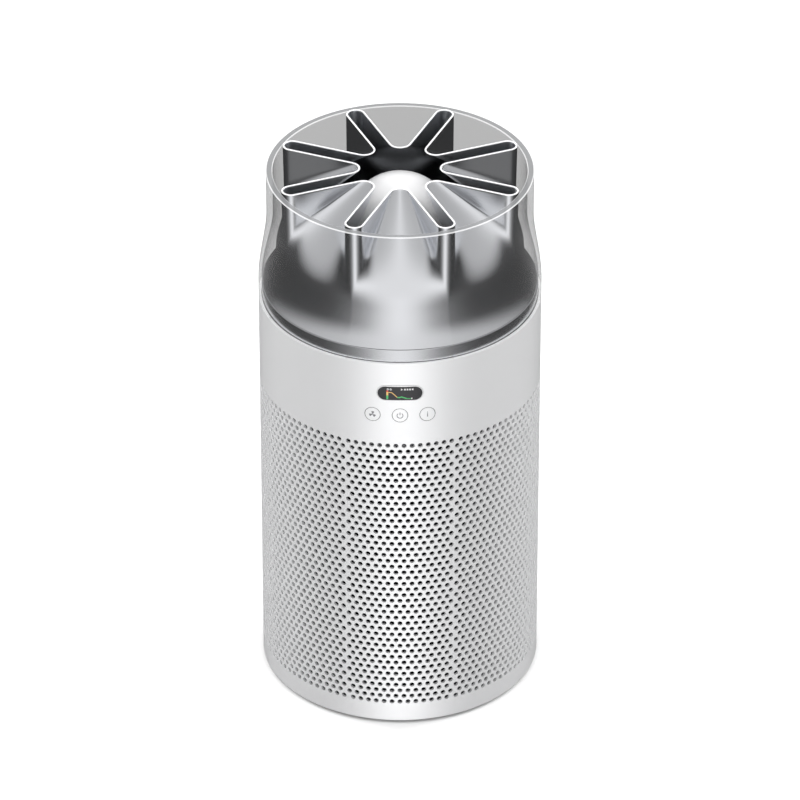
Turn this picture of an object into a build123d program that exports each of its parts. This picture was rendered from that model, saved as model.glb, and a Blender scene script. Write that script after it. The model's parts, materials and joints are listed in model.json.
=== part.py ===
from build123d import *
import os
from math import cos, radians, sin, tan

os.makedirs("parts", exist_ok=True)

# Compact cylindrical air purifier, in millimetres, +Z up, its controls facing -Y.
# The origin is the middle of the foot's underside. Air enters round the casing, passes the
# filter inwards, is lifted by the fan and leaves through the star nozzle at the top.
# An azimuth is an angle about +Z, counted from the front, positive towards +X.

# ---- Driving sizes ------------------------------------------------------------------------
FOOT_HEIGHT = 3.5
FOOT_INSET = 3.4
FOOT_WIDTH = 10.5

CASING_RADIUS = 114.0
CASING_WALL = 2.2
CASING_LOW = 2.5
CASING_HIGH = 347.6
CASING_EDGE = 1.2

SHELL_TAPER = 7.0
SHELL_RIM_WALL = 5.3
SHELL_FOOT_WALL = 2.5
SHELL_HEIGHT = 112.3
SHELL_FLARE_START = 12.4
SHELL_FLARE_LENGTH = 62.0

LOBES = 8
LOBE_GAP = 0.5
LOBE_HALF_WIDTH = 7.9
VALLEY_NOSE = 7.8
NOZZLE_WALL = 1.5
NOZZLE_ABOVE_RIM = 1.5
COLLAR_INSET = 1.2
NOZZLE_COLLAR_DROP = 71.0
NOZZLE_FLANGE_DEPTH = 6.0

BAND_HEIGHT = 11.0
JOINT_LINE = 0.3

DOME_RADIUS = 43.5
DOME_CENTRE_ABOVE_CASING = 60.9
DOME_WALL = 2.0
DOME_FOOT_RADIUS = 52.0

FAN_BAY = 68.6
DECK_THICKNESS = 3.0
ELECTRONICS_DEPTH = 23.5
DECK_LEDGE = 11.0
DUCT_WALL = 2.6
EYE_INSET = 27.0
EYE_ABOVE_DECK = 12.0
IMPELLER_HEIGHT = 40.0
IMPELLER_TIP_GAP = 1.0
IMPELLER_HUB_LOW = 22.0
IMPELLER_HUB_HIGH = 58.0
BLADES = 9
BLADE_THICKNESS = 1.6
VANES = 11

SHAFT_RADIUS = 3.0
BEARING_RADIUS = 8.0
BEARING_WIDTH = 5.0
MOTOR_RADIUS = 33.0
MOTOR_WALL = 2.0
MOTOR_HEIGHT = 36.0
STATOR_TEETH = 6

FILTER_INSET = 3.0
FILTER_BORE = 66.0
CARBON_WALL = 5.0
CORE_WALL = 2.0
FILTER_SLIDE_GAP = 2.5
FILTER_CAP_THICKNESS = 6.0
SEAL_HEIGHT = 5.7
SEAL_WIDTH = 17.6
CHASSIS_WALL = 6.0
CHASSIS_RING = 6.0
STRUTS = 6
STRUT_WIDTH = 8.0

DISPLAY_LENGTH = 37.3
DISPLAY_HEIGHT = 14.2
DISPLAY_BELOW_TOP = 27.3
BEZEL_WIDTH = 0.8
BEZEL_PROUD = 0.2
BUTTON_RADIUS = 6.0
BUTTON_GAP = 0.5
BUTTON_BELOW_TOP = 48.0
BUTTON_SPREAD = 11.08
BUTTON_FLANGE = 1.4
BOARD_THICKNESS = 1.6

SOCKET_BELOW_TOP = 34.6
SOCKET_WIDTH = 24.0
SOCKET_HEIGHT = 15.0
PIN_RADIUS = 1.2
PIN_SPACING = 8.6

# ---- Clearances ---------------------------------------------------------------------------
SEAT = 0.15
LOOSE = 0.3
RUNNING = 0.05
SCREW_CLEARANCE = 0.1

# ---- Places worked out from the driving sizes ---------------------------------------------
casing_bore = CASING_RADIUS - CASING_WALL
deck_low = CASING_HIGH - FAN_BAY - DECK_THICKNESS
deck_high = deck_low + DECK_THICKNESS
inside_radius = casing_bore - LOOSE
duct_radius = inside_radius - ELECTRONICS_DEPTH
deck_bore = duct_radius - DECK_LEDGE
eye_radius = duct_radius - EYE_INSET
chassis_bore = inside_radius - CHASSIS_WALL
filter_cap_radius = chassis_bore - FILTER_SLIDE_GAP
filter_radius = filter_cap_radius - FILTER_INSET

shell_low = CASING_HIGH + SEAT
shell_rim_radius = CASING_RADIUS - SHELL_TAPER
shell_rim_bore = shell_rim_radius - SHELL_RIM_WALL
rim_z = CASING_HIGH + SHELL_HEIGHT
flare_low = CASING_HIGH + SHELL_FLARE_START
flare_high = flare_low + SHELL_FLARE_LENGTH
shell_foot_bore = CASING_RADIUS - SHELL_FOOT_WALL

band_radius = inside_radius - LOOSE
band_low = CASING_HIGH
band_high = band_low + BAND_HEIGHT
nozzle_low = band_high + JOINT_LINE
nozzle_top = rim_z + NOZZLE_ABOVE_RIM
collar_z = nozzle_top - NOZZLE_COLLAR_DROP
lobe_radius = shell_rim_bore - LOBE_GAP
collar_radius = lobe_radius - COLLAR_INSET

eye_z = deck_high + EYE_ABOVE_DECK
impeller_top = eye_z + IMPELLER_HEIGHT
impeller_tip = duct_radius - IMPELLER_TIP_GAP
floor_low = impeller_top + 4.5
FLOOR_THICKNESS = 2.5
floor_high = floor_low + FLOOR_THICKNESS
hub_top = CASING_HIGH + 4.7
motor_top = floor_high + MOTOR_HEIGHT
dome_centre = CASING_HIGH + DOME_CENTRE_ABOVE_CASING

skirt_outer = duct_radius + DUCT_WALL
FLANGE_THICKNESS = 2.7
flange_low = CASING_HIGH - FLANGE_THICKNESS

CAP_THICKNESS = 4.0
CAP_RIM_HEIGHT = 6.0
CAP_RIM_WALL = 3.0
cap_radius = inside_radius - 2 * LOOSE
foot_outer = cap_radius - FOOT_INSET
foot_inner = foot_outer - FOOT_WIDTH
cap_low = FOOT_HEIGHT
cap_high = cap_low + CAP_THICKNESS
cap_rim_top = cap_high + CAP_RIM_HEIGHT
filter_cap_low = cap_high + LOOSE
media_low = filter_cap_low + FILTER_CAP_THICKNESS
seal_low = deck_low - LOOSE - SEAL_HEIGHT
media_high = seal_low - FILTER_CAP_THICKNESS
chassis_low = cap_rim_top + 1.5

display_z = CASING_HIGH - DISPLAY_BELOW_TOP
button_z = CASING_HIGH - BUTTON_BELOW_TOP
board_face = inside_radius - 9.5
socket_z = CASING_HIGH - SOCKET_BELOW_TOP

SCREW_RADIUS = 1.5
SCREW_HEAD_RADIUS = 2.4
SCREW_HEAD_HEIGHT = 2.0
deck_screw_circle = inside_radius - SCREW_HEAD_RADIUS - 0.4
band_screw_circle = band_radius - 10.0
DECK_SCREW_LENGTH = 11.0
BAND_SCREW_LENGTH = 6.0
MOTOR_SCREW_RADIUS = 1.25
MOTOR_FLANGE = 6.0
motor_screw_circle = MOTOR_RADIUS + MOTOR_FLANGE / 2


def radial_plane(azimuth, radius, height):
    """A plane square to the casing at an azimuth, its own Z pointing outwards and Y up."""
    turn = radians(azimuth)
    return Plane(
        origin=(radius * sin(turn), -radius * cos(turn), height),
        x_dir=(cos(turn), sin(turn), 0),
        z_dir=(sin(turn), -cos(turn), 0),
    )


def rounded_wedge(height, nose, half_width):
    """The gap between two neighbouring lobes: straight sides and a round nose, opening to -Y."""
    half_angle = radians(180 / LOBES)
    reach = 2.2 * lobe_radius
    vertex = half_width / sin(half_angle)
    straight = nose / tan(half_angle)
    across, along = sin(half_angle), cos(half_angle)
    near = (straight * across, -vertex - straight * along)
    far = (reach * across, -vertex - reach * along)
    tip = (0, -vertex - nose / sin(half_angle) + nose)
    with BuildSketch(Plane.XY.offset(height)) as wedge:
        with BuildLine():
            ThreePointArc((-near[0], near[1]), tip, near)
            Polyline(near, far, (-far[0], far[1]), (-near[0], near[1]))
        make_face()
    return wedge.sketch


def valley_nose(height, half_width):
    """Radius of a valley's round nose at a height: its spine slopes evenly to the collar."""
    half_angle = radians(180 / LOBES)
    vertex = half_width / sin(half_angle)
    spread = 1 / sin(half_angle) - 1
    spine_top = vertex + VALLEY_NOSE * spread
    share = (nozzle_top - height) / NOZZLE_COLLAR_DROP
    spine = spine_top + share * (collar_radius - spine_top)
    return (spine - vertex) / spread


# ---- Foot, base cap and filter ------------------------------------------------------------
with BuildPart() as foot_ring:
    with BuildSketch():
        Circle(foot_outer)
        Circle(foot_inner, mode=Mode.SUBTRACT)
    extrude(amount=FOOT_HEIGHT)
    chamfer(foot_ring.edges().group_by(Axis.Z)[0], length=0.8)
foot_ring.part.label = "foot_ring"
export_step(foot_ring.part, "parts/foot_ring.step")

SPIGOT_RADIUS = 20.0
SPIGOT_HEIGHT = 4.5
GRIP_WELL_RADIUS = 42.0
GRIP_WELL_DEPTH = 2.6
GRIP_BAR_WIDTH = 16.0
with BuildPart() as base_cap:
    with BuildSketch(Plane.XY.offset(cap_low)):
        Circle(cap_radius)
    extrude(amount=CAP_THICKNESS + CAP_RIM_HEIGHT)
    with BuildSketch(Plane.XY.offset(cap_high)):
        Circle(cap_radius - CAP_RIM_WALL)
    extrude(amount=CAP_RIM_HEIGHT, mode=Mode.SUBTRACT)
    with BuildSketch(Plane.XY.offset(cap_high)):
        Circle(SPIGOT_RADIUS)
    extrude(amount=SPIGOT_HEIGHT)
    with BuildSketch(Plane.XY.offset(cap_low)):
        Circle(GRIP_WELL_RADIUS)
        Rectangle(GRIP_BAR_WIDTH, 2 * GRIP_WELL_RADIUS, mode=Mode.SUBTRACT)
    extrude(amount=GRIP_WELL_DEPTH, mode=Mode.SUBTRACT)
base_cap.part.label = "base_cap"
export_step(base_cap.part, "parts/base_cap.step")

carbon_outer = FILTER_BORE - LOOSE
carbon_bore = carbon_outer - CARBON_WALL
core_outer = carbon_bore - LOOSE
core_bore = core_outer - CORE_WALL
CAP_GROOVE = 1.0
with BuildPart() as filter_bottom_cap:
    with BuildSketch(Plane.XY.offset(filter_cap_low)):
        Circle(filter_cap_radius)
        Circle(SPIGOT_RADIUS + RUNNING, mode=Mode.SUBTRACT)
    extrude(amount=FILTER_CAP_THICKNESS)
    with BuildSketch(Plane.XY.offset(media_low - CAP_GROOVE)):
        Circle(filter_radius + LOOSE)
        Circle(core_bore - LOOSE, mode=Mode.SUBTRACT)
    extrude(amount=CAP_GROOVE, mode=Mode.SUBTRACT)
filter_bottom_cap.part.label = "filter_bottom_cap"
export_step(filter_bottom_cap.part, "parts/filter_bottom_cap.step")

with BuildPart() as filter_top_cap:
    with BuildSketch(Plane.XY.offset(media_high)):
        Circle(filter_cap_radius)
        Circle(core_bore, mode=Mode.SUBTRACT)
    extrude(amount=FILTER_CAP_THICKNESS)
    with BuildSketch(Plane.XY.offset(media_high)):
        Circle(filter_radius + LOOSE)
        Circle(core_bore, mode=Mode.SUBTRACT)
    extrude(amount=CAP_GROOVE, mode=Mode.SUBTRACT)
filter_top_cap.part.label = "filter_top_cap"
export_step(filter_top_cap.part, "parts/filter_top_cap.step")

filter_low = media_low - CAP_GROOVE + SEAT
filter_length = media_high + CAP_GROOVE - SEAT - filter_low
with BuildPart() as filter_media:
    with BuildSketch(Plane.XY.offset(filter_low)):
        Circle(filter_radius)
        Circle(FILTER_BORE, mode=Mode.SUBTRACT)
    extrude(amount=filter_length)
filter_media.part.label = "filter_media"
export_step(filter_media.part, "parts/filter_media.step")

with BuildPart() as carbon_layer:
    with BuildSketch(Plane.XY.offset(filter_low)):
        Circle(carbon_outer)
        Circle(carbon_bore, mode=Mode.SUBTRACT)
    extrude(amount=filter_length)
carbon_layer.part.label = "carbon_layer"
export_step(carbon_layer.part, "parts/carbon_layer.step")

CORE_COLUMNS = 12
CORE_ROWS = 5
core_window_height = 0.7 * filter_length / CORE_ROWS
core_window_width = 0.6 * 2 * core_bore * sin(radians(180 / CORE_COLUMNS))
with BuildPart() as filter_core:
    with BuildSketch(Plane.XY.offset(filter_low)):
        Circle(core_outer)
        Circle(core_bore, mode=Mode.SUBTRACT)
    extrude(amount=filter_length)
    for row in range(CORE_ROWS):
        row_z = filter_low + filter_length * (row + 0.5) / CORE_ROWS
        with PolarLocations(0, CORE_COLUMNS // 2):
            with Locations((0, 0, row_z)):
                Box(3 * core_outer, core_window_width, core_window_height, mode=Mode.SUBTRACT)
filter_core.part.label = "filter_core"
export_step(filter_core.part, "parts/filter_core.step")

seal_outer = filter_cap_radius - FILTER_INSET
seal_inner = seal_outer - SEAL_WIDTH
SEAL_EDGE = 2.0
with BuildPart() as filter_seal:
    with BuildSketch(Plane.XY.offset(seal_low)):
        Circle(seal_outer)
        Circle(seal_inner, mode=Mode.SUBTRACT)
    extrude(amount=SEAL_HEIGHT)
    fillet(filter_seal.edges().group_by(Axis.Z)[-1], radius=SEAL_EDGE)
filter_seal.part.label = "filter_seal"
export_step(filter_seal.part, "parts/filter_seal.step")

# ---- Casing, chassis and deck -------------------------------------------------------------
STRUT_SCREW_DEPTH = DECK_SCREW_LENGTH - DECK_THICKNESS + 0.5
with BuildPart() as chassis_frame:
    for ring_low in (chassis_low, deck_low - CHASSIS_RING):
        with BuildSketch(Plane.XY.offset(ring_low)):
            Circle(inside_radius)
            Circle(chassis_bore, mode=Mode.SUBTRACT)
        extrude(amount=CHASSIS_RING)
    strut_middle = (chassis_bore + inside_radius) / 2
    with BuildSketch(Plane.XY.offset(chassis_low)):
        with PolarLocations(strut_middle, STRUTS):
            Rectangle(2 * (inside_radius - chassis_bore), STRUT_WIDTH)
        Circle(chassis_bore, mode=Mode.SUBTRACT)
        Circle(inside_radius, mode=Mode.INTERSECT)
    extrude(amount=deck_low - chassis_low)
    with Locations((0, 0, deck_low)):
        with PolarLocations(deck_screw_circle, STRUTS):
            Hole(SCREW_RADIUS + SCREW_CLEARANCE, depth=STRUT_SCREW_DEPTH)
chassis_frame.part.label = "chassis_frame"
export_step(chassis_frame.part, "parts/chassis_frame.step")

with BuildPart() as fan_deck:
    with BuildSketch(Plane.XY.offset(deck_low)):
        Circle(inside_radius)
        Circle(deck_bore, mode=Mode.SUBTRACT)
        with PolarLocations(deck_screw_circle, STRUTS):
            Circle(SCREW_RADIUS + SCREW_CLEARANCE, mode=Mode.SUBTRACT)
    extrude(amount=DECK_THICKNESS)
fan_deck.part.label = "fan_deck"
export_step(fan_deck.part, "parts/fan_deck.step")

with BuildPart() as deck_screws:
    with BuildSketch(Plane.XY.offset(deck_high)):
        with PolarLocations(deck_screw_circle, STRUTS):
            Circle(SCREW_HEAD_RADIUS)
    extrude(amount=SCREW_HEAD_HEIGHT)
    with BuildSketch(Plane.XY.offset(deck_high)):
        with PolarLocations(deck_screw_circle, STRUTS):
            Circle(SCREW_RADIUS)
    extrude(amount=-DECK_SCREW_LENGTH)
deck_screws.part.label = "deck_screws"
export_step(deck_screws.part, "parts/deck_screws.step")

window_length = DISPLAY_LENGTH + 2 * SEAT
window_height = DISPLAY_HEIGHT + 2 * SEAT
with BuildPart() as outer_casing:
    with BuildSketch(Plane.XY.offset(CASING_LOW)):
        Circle(CASING_RADIUS)
        Circle(casing_bore, mode=Mode.SUBTRACT)
    extrude(amount=CASING_HIGH - CASING_LOW)
    fillet(outer_casing.edges().group_by(Axis.Z)[0].sort_by(SortBy.RADIUS)[-1], radius=CASING_EDGE)
    with BuildSketch(Plane.XZ.offset(casing_bore / 2)):
        with Locations((0, display_z)):
            SlotOverall(window_length, window_height)
    extrude(amount=CASING_RADIUS, mode=Mode.SUBTRACT)
    for azimuth in (-BUTTON_SPREAD, 0, BUTTON_SPREAD):
        with BuildSketch(radial_plane(azimuth, casing_bore / 2, button_z)):
            Circle(BUTTON_RADIUS + BUTTON_GAP)
        extrude(amount=CASING_RADIUS, mode=Mode.SUBTRACT)
    with BuildSketch(radial_plane(180, casing_bore / 2, socket_z)):
        RectangleRounded(SOCKET_WIDTH + 2 * SEAT, SOCKET_HEIGHT + 2 * SEAT, radius=3.0)
    extrude(amount=CASING_RADIUS, mode=Mode.SUBTRACT)
outer_casing.part.label = "outer_casing"
export_step(outer_casing.part, "parts/outer_casing.step")

# ---- Fan ----------------------------------------------------------------------------------
LIP_THICKNESS = 2.2
lip_radius = EYE_ABOVE_DECK - LIP_THICKNESS
lip_centre = eye_radius + LIP_THICKNESS + lip_radius
with BuildPart() as inlet_bellmouth:
    with BuildSketch(Plane.XZ):
        with BuildLine():
            throat = Line((eye_radius, eye_z - SEAT), (eye_radius + LIP_THICKNESS, eye_z - SEAT))
            RadiusArc(throat @ 1, (lip_centre, deck_high + LIP_THICKNESS), -lip_radius)
            Polyline(
                (lip_centre, deck_high + LIP_THICKNESS),
                (duct_radius - 2.0, deck_high + LIP_THICKNESS),
                (duct_radius - 2.0, deck_high),
                (lip_centre, deck_high),
            )
            RadiusArc((lip_centre, deck_high), throat @ 0, lip_radius + LIP_THICKNESS)
        make_face()
    revolve(axis=Axis.Z)
inlet_bellmouth.part.label = "inlet_bellmouth"
export_step(inlet_bellmouth.part, "parts/inlet_bellmouth.step")

with BuildPart() as fan_housing:
    with BuildSketch(Plane.XZ):
        with BuildLine():
            Polyline(
                (eye_radius, eye_z),
                (duct_radius, impeller_top),
                (duct_radius, CASING_HIGH),
                (inside_radius, CASING_HIGH),
                (inside_radius, flange_low),
                (skirt_outer, flange_low),
                (skirt_outer, deck_high),
                (duct_radius, deck_high),
                (duct_radius, impeller_top - DUCT_WALL - 2.0),
                (eye_radius + DUCT_WALL, eye_z),
                close=True,
            )
        make_face()
    revolve(axis=Axis.Z)
    with Locations((0, 0, CASING_HIGH)):
        with PolarLocations(band_screw_circle, STRUTS, start_angle=30):
            Hole(SCREW_RADIUS + SCREW_CLEARANCE, depth=FLANGE_THICKNESS)
fan_housing.part.label = "fan_housing"
export_step(fan_housing.part, "parts/fan_housing.step")

HUB_WALL = 2.4
BOSS_RADIUS = 9.0
BLADE_SWEEP = 38.0
with BuildPart() as impeller:
    with BuildSketch(Plane.XY.offset(eye_z)):
        with BuildLine():
            root_point = (IMPELLER_HUB_LOW - 4.0, 0)
            tip_turn = radians(BLADE_SWEEP)
            tip_point = (impeller_tip * 1.1 * cos(tip_turn), impeller_tip * 1.1 * sin(tip_turn))
            blade_line = RadiusArc(root_point, tip_point, impeller_tip)
            offset(blade_line, amount=BLADE_THICKNESS / 2, side=Side.BOTH)
        blade_face = make_face()
        with PolarLocations(0, BLADES):
            add(blade_face)
    extrude(amount=IMPELLER_HEIGHT)
    with BuildSketch(Plane.XZ):
        with BuildLine():
            Polyline(
                (IMPELLER_HUB_LOW - 1.0, eye_z),
                (eye_radius - IMPELLER_TIP_GAP, eye_z),
                (impeller_tip, impeller_top),
                (IMPELLER_HUB_HIGH - 1.0, impeller_top),
                close=True,
            )
        make_face()
    revolve(axis=Axis.Z, mode=Mode.INTERSECT)
    with BuildSketch(Plane.XZ):
        with BuildLine():
            Polyline(
                (SHAFT_RADIUS + SEAT, eye_z),
                (IMPELLER_HUB_LOW, eye_z),
                (IMPELLER_HUB_HIGH, impeller_top),
                (IMPELLER_HUB_HIGH - HUB_WALL, impeller_top),
                (IMPELLER_HUB_LOW, eye_z + 2 * HUB_WALL),
                (BOSS_RADIUS, eye_z + 2 * HUB_WALL),
                (BOSS_RADIUS, impeller_top),
                (SHAFT_RADIUS + SEAT, impeller_top),
                close=True,
            )
        make_face()
    revolve(axis=Axis.Z)
impeller.part.label = "impeller"
export_step(impeller.part, "parts/impeller.step")

bearing_low = floor_low + 0.5
upper_bearing_low = motor_top - BEARING_WIDTH
shaft_low = eye_z - 8.0
shaft_high = motor_top - 0.5
with BuildPart() as motor_shaft:
    with BuildSketch(Plane.XY.offset(shaft_low)):
        Circle(SHAFT_RADIUS)
    extrude(amount=shaft_high - shaft_low)
    chamfer(motor_shaft.edges().group_by(Axis.Z)[0], length=0.5)
motor_shaft.part.label = "motor_shaft"
export_step(motor_shaft.part, "parts/motor_shaft.step")

NUT_HEIGHT = 4.0
with BuildPart() as impeller_nut:
    with BuildSketch(Plane.XY.offset(eye_z - NUT_HEIGHT)):
        RegularPolygon(radius=2 * SHAFT_RADIUS, side_count=6)
        Circle(SHAFT_RADIUS + RUNNING, mode=Mode.SUBTRACT)
    extrude(amount=NUT_HEIGHT)
impeller_nut.part.label = "impeller_nut"
export_step(impeller_nut.part, "parts/impeller_nut.step")

DIFFUSER_RING_WALL = 2.0
diffuser_outer = duct_radius - LOOSE
with BuildPart() as diffuser:
    with BuildSketch(Plane.XZ):
        with BuildLine():
            Polyline(
                (BEARING_RADIUS + RUNNING, floor_low),
                (DOME_FOOT_RADIUS, floor_low),
                (DOME_FOOT_RADIUS, hub_top),
                (DOME_FOOT_RADIUS - HUB_WALL, hub_top),
                (DOME_FOOT_RADIUS - HUB_WALL, floor_high),
                (BEARING_RADIUS + HUB_WALL, floor_high),
                (BEARING_RADIUS + HUB_WALL, bearing_low + BEARING_WIDTH),
                (BEARING_RADIUS + RUNNING, bearing_low + BEARING_WIDTH),
                close=True,
            )
        make_face()
    revolve(axis=Axis.Z)
    with BuildSketch(Plane.XY.offset(floor_low)):
        Circle(diffuser_outer)
        Circle(diffuser_outer - DIFFUSER_RING_WALL, mode=Mode.SUBTRACT)
    extrude(amount=CASING_HIGH + LOOSE - floor_low)
    with BuildSketch(Plane.XY.offset(floor_low)):
        with BuildLine():
            vane_line = RadiusArc((DOME_FOOT_RADIUS - 1.0, 0), (diffuser_outer - 1.0, -9.0), 60)
            offset(vane_line, amount=BLADE_THICKNESS / 2, side=Side.BOTH)
        vane_face = make_face()
        with PolarLocations(0, VANES):
            add(vane_face)
    extrude(amount=CASING_HIGH - floor_low)
    with Locations((0, 0, floor_high)):
        with PolarLocations(motor_screw_circle, 4):
            Hole(MOTOR_SCREW_RADIUS + SCREW_CLEARANCE, depth=FLOOR_THICKNESS)
diffuser.part.label = "diffuser"
export_step(diffuser.part, "parts/diffuser.step")

# ---- Motor --------------------------------------------------------------------------------
with BuildPart() as motor_housing:
    with BuildSketch(Plane.XY.offset(floor_high)):
        Circle(MOTOR_RADIUS)
        Circle(MOTOR_RADIUS - MOTOR_WALL, mode=Mode.SUBTRACT)
    extrude(amount=motor_top - BEARING_WIDTH - floor_high)
    with BuildSketch(Plane.XY.offset(floor_high)):
        Circle(MOTOR_RADIUS + MOTOR_FLANGE)
        Circle(MOTOR_RADIUS - MOTOR_WALL, mode=Mode.SUBTRACT)
        with PolarLocations(motor_screw_circle, 4):
            Circle(MOTOR_SCREW_RADIUS + SCREW_CLEARANCE, mode=Mode.SUBTRACT)
    extrude(amount=FLOOR_THICKNESS)
motor_housing.part.label = "motor_housing"
export_step(motor_housing.part, "parts/motor_housing.step")

with BuildPart() as motor_cap:
    with BuildSketch(Plane.XY.offset(upper_bearing_low)):
        Circle(MOTOR_RADIUS)
        Circle(BEARING_RADIUS + RUNNING, mode=Mode.SUBTRACT)
    extrude(amount=BEARING_WIDTH)
    fillet(motor_cap.edges().group_by(Axis.Z)[-1].sort_by(SortBy.RADIUS)[-1], radius=2.0)
motor_cap.part.label = "motor_cap"
export_step(motor_cap.part, "parts/motor_cap.step")

with BuildPart() as lower_bearing:
    with BuildSketch(Plane.XY.offset(bearing_low)):
        Circle(BEARING_RADIUS)
        Circle(SHAFT_RADIUS + RUNNING, mode=Mode.SUBTRACT)
    extrude(amount=BEARING_WIDTH)
lower_bearing.part.label = "lower_bearing"
export_step(lower_bearing.part, "parts/lower_bearing.step")

with BuildPart() as upper_bearing:
    with BuildSketch(Plane.XY.offset(upper_bearing_low)):
        Circle(BEARING_RADIUS)
        Circle(SHAFT_RADIUS + RUNNING, mode=Mode.SUBTRACT)
    extrude(amount=BEARING_WIDTH)
upper_bearing.part.label = "upper_bearing"
export_step(upper_bearing.part, "parts/upper_bearing.step")

ROTOR_RADIUS = 13.0
AIR_GAP = 0.6
YOKE_WALL = 3.8
TOOTH_WIDTH = 6.0
COIL_WALL = 2.2
stator_low = floor_high + 9.0
stator_height = MOTOR_HEIGHT - BEARING_WIDTH - 14.0
stator_outer = MOTOR_RADIUS - MOTOR_WALL - RUNNING
stator_bore = ROTOR_RADIUS + AIR_GAP
yoke_bore = stator_outer - YOKE_WALL
with BuildPart() as rotor_magnet:
    with BuildSketch(Plane.XY.offset(stator_low - 1.0)):
        Circle(ROTOR_RADIUS)
        Circle(SHAFT_RADIUS + RUNNING, mode=Mode.SUBTRACT)
    extrude(amount=stator_height + 2.0)
rotor_magnet.part.label = "rotor_magnet"
export_step(rotor_magnet.part, "parts/rotor_magnet.step")

with BuildPart() as stator_core:
    with BuildSketch(Plane.XY.offset(stator_low)):
        Circle(stator_outer)
        Circle(yoke_bore, mode=Mode.SUBTRACT)
        with PolarLocations((stator_bore + yoke_bore) / 2, STATOR_TEETH):
            Rectangle(yoke_bore - stator_bore + 2.0, TOOTH_WIDTH)
        Circle(stator_bore, mode=Mode.SUBTRACT)
    extrude(amount=stator_height)
stator_core.part.label = "stator_core"
export_step(stator_core.part, "parts/stator_core.step")

coil_length = yoke_bore - stator_bore - 4.5
coil_middle = (stator_bore + yoke_bore) / 2 + 1.0
stator_middle = stator_low + stator_height / 2
with BuildPart() as stator_coils:
    with Locations((0, 0, stator_middle)):
        with PolarLocations(coil_middle, STATOR_TEETH):
            Box(coil_length, TOOTH_WIDTH + 2 * COIL_WALL, stator_height + 2 * COIL_WALL)
    with Locations((0, 0, stator_middle)):
        with PolarLocations(coil_middle, STATOR_TEETH):
            Box(
                2 * coil_length,
                TOOTH_WIDTH + 2 * SEAT,
                stator_height + 2 * SEAT,
                mode=Mode.SUBTRACT,
            )
stator_coils.part.label = "stator_coils"
export_step(stator_coils.part, "parts/stator_coils.step")

with BuildPart() as motor_screws:
    with BuildSketch(Plane.XY.offset(floor_low)):
        with PolarLocations(motor_screw_circle, 4):
            Circle(2 * MOTOR_SCREW_RADIUS)
    extrude(amount=-1.5)
    with BuildSketch(Plane.XY.offset(floor_low)):
        with PolarLocations(motor_screw_circle, 4):
            Circle(MOTOR_SCREW_RADIUS)
    extrude(amount=2 * FLOOR_THICKNESS)
motor_screws.part.label = "motor_screws"
export_step(motor_screws.part, "parts/motor_screws.step")

# ---- Outlet: nose cone, band, nozzle and clear shell --------------------------------------
with BuildPart() as nose_cone:
    with BuildSketch(Plane.XZ):
        with BuildLine():
            foot_z = hub_top + SEAT
            apex = dome_centre + DOME_RADIUS
            Spline(
                (DOME_FOOT_RADIUS, foot_z),
                (DOME_RADIUS, dome_centre),
                tangents=[(0, 1), (0, 1)],
            )
            RadiusArc((DOME_RADIUS, dome_centre), (0, apex), -DOME_RADIUS)
            Line((0, apex), (0, apex - DOME_WALL))
            RadiusArc(
                (0, apex - DOME_WALL),
                (DOME_RADIUS - DOME_WALL, dome_centre),
                DOME_RADIUS - DOME_WALL,
            )
            Spline(
                (DOME_RADIUS - DOME_WALL, dome_centre),
                (DOME_FOOT_RADIUS - DOME_WALL, foot_z),
                tangents=[(0, -1), (0, -1)],
            )
            Line((DOME_FOOT_RADIUS - DOME_WALL, foot_z), (DOME_FOOT_RADIUS, foot_z))
        make_face()
    revolve(axis=Axis.Z)
nose_cone.part.label = "nose_cone"
export_step(nose_cone.part, "parts/nose_cone.step")

band_inner_top = band_radius - 3.7
with BuildPart() as shoulder_ring:
    with BuildSketch(Plane.XZ):
        with BuildLine():
            Polyline(
                (duct_radius + LOOSE, band_low),
                (band_radius, band_low),
                (band_radius, band_high),
                (band_inner_top, band_high),
                (duct_radius + LOOSE, band_low + 2.0),
                close=True,
            )
        make_face()
    revolve(axis=Axis.Z)
    with Locations(Plane((0, 0, band_low), z_dir=(0, 0, -1))):
        with PolarLocations(band_screw_circle, STRUTS, start_angle=30):
            Hole(SCREW_RADIUS + SCREW_CLEARANCE, depth=BAND_SCREW_LENGTH - FLANGE_THICKNESS + 0.4)
shoulder_ring.part.label = "shoulder_ring"
export_step(shoulder_ring.part, "parts/shoulder_ring.step")

with BuildPart() as shoulder_screws:
    with BuildSketch(Plane.XY.offset(flange_low)):
        with PolarLocations(band_screw_circle, STRUTS, start_angle=30):
            Circle(SCREW_HEAD_RADIUS)
    extrude(amount=-SCREW_HEAD_HEIGHT)
    with BuildSketch(Plane.XY.offset(flange_low)):
        with PolarLocations(band_screw_circle, STRUTS, start_angle=30):
            Circle(SCREW_RADIUS)
    extrude(amount=BAND_SCREW_LENGTH)
shoulder_screws.part.label = "shoulder_screws"
export_step(shoulder_screws.part, "parts/shoulder_screws.step")

bell_foot = band_radius - 0.2
pocket_high = nozzle_top + 3.0
pocket_low = collar_z - 3.0
TIP_FLAT = 0.5


def valley_pocket(inset):
    """What lies outside the nozzle between two lobes, grown by inset on its round nose."""
    half_width = LOBE_HALF_WIDTH - inset
    low_nose = valley_nose(pocket_low, LOBE_HALF_WIDTH) + inset
    high_nose = valley_nose(pocket_high, LOBE_HALF_WIDTH) + inset
    low_wedge = rounded_wedge(pocket_low, low_nose, half_width)
    high_wedge = rounded_wedge(pocket_high, high_nose, half_width)
    with BuildPart() as pocket:
        loft([low_wedge, high_wedge], ruled=True)
    return pocket.part


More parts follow.
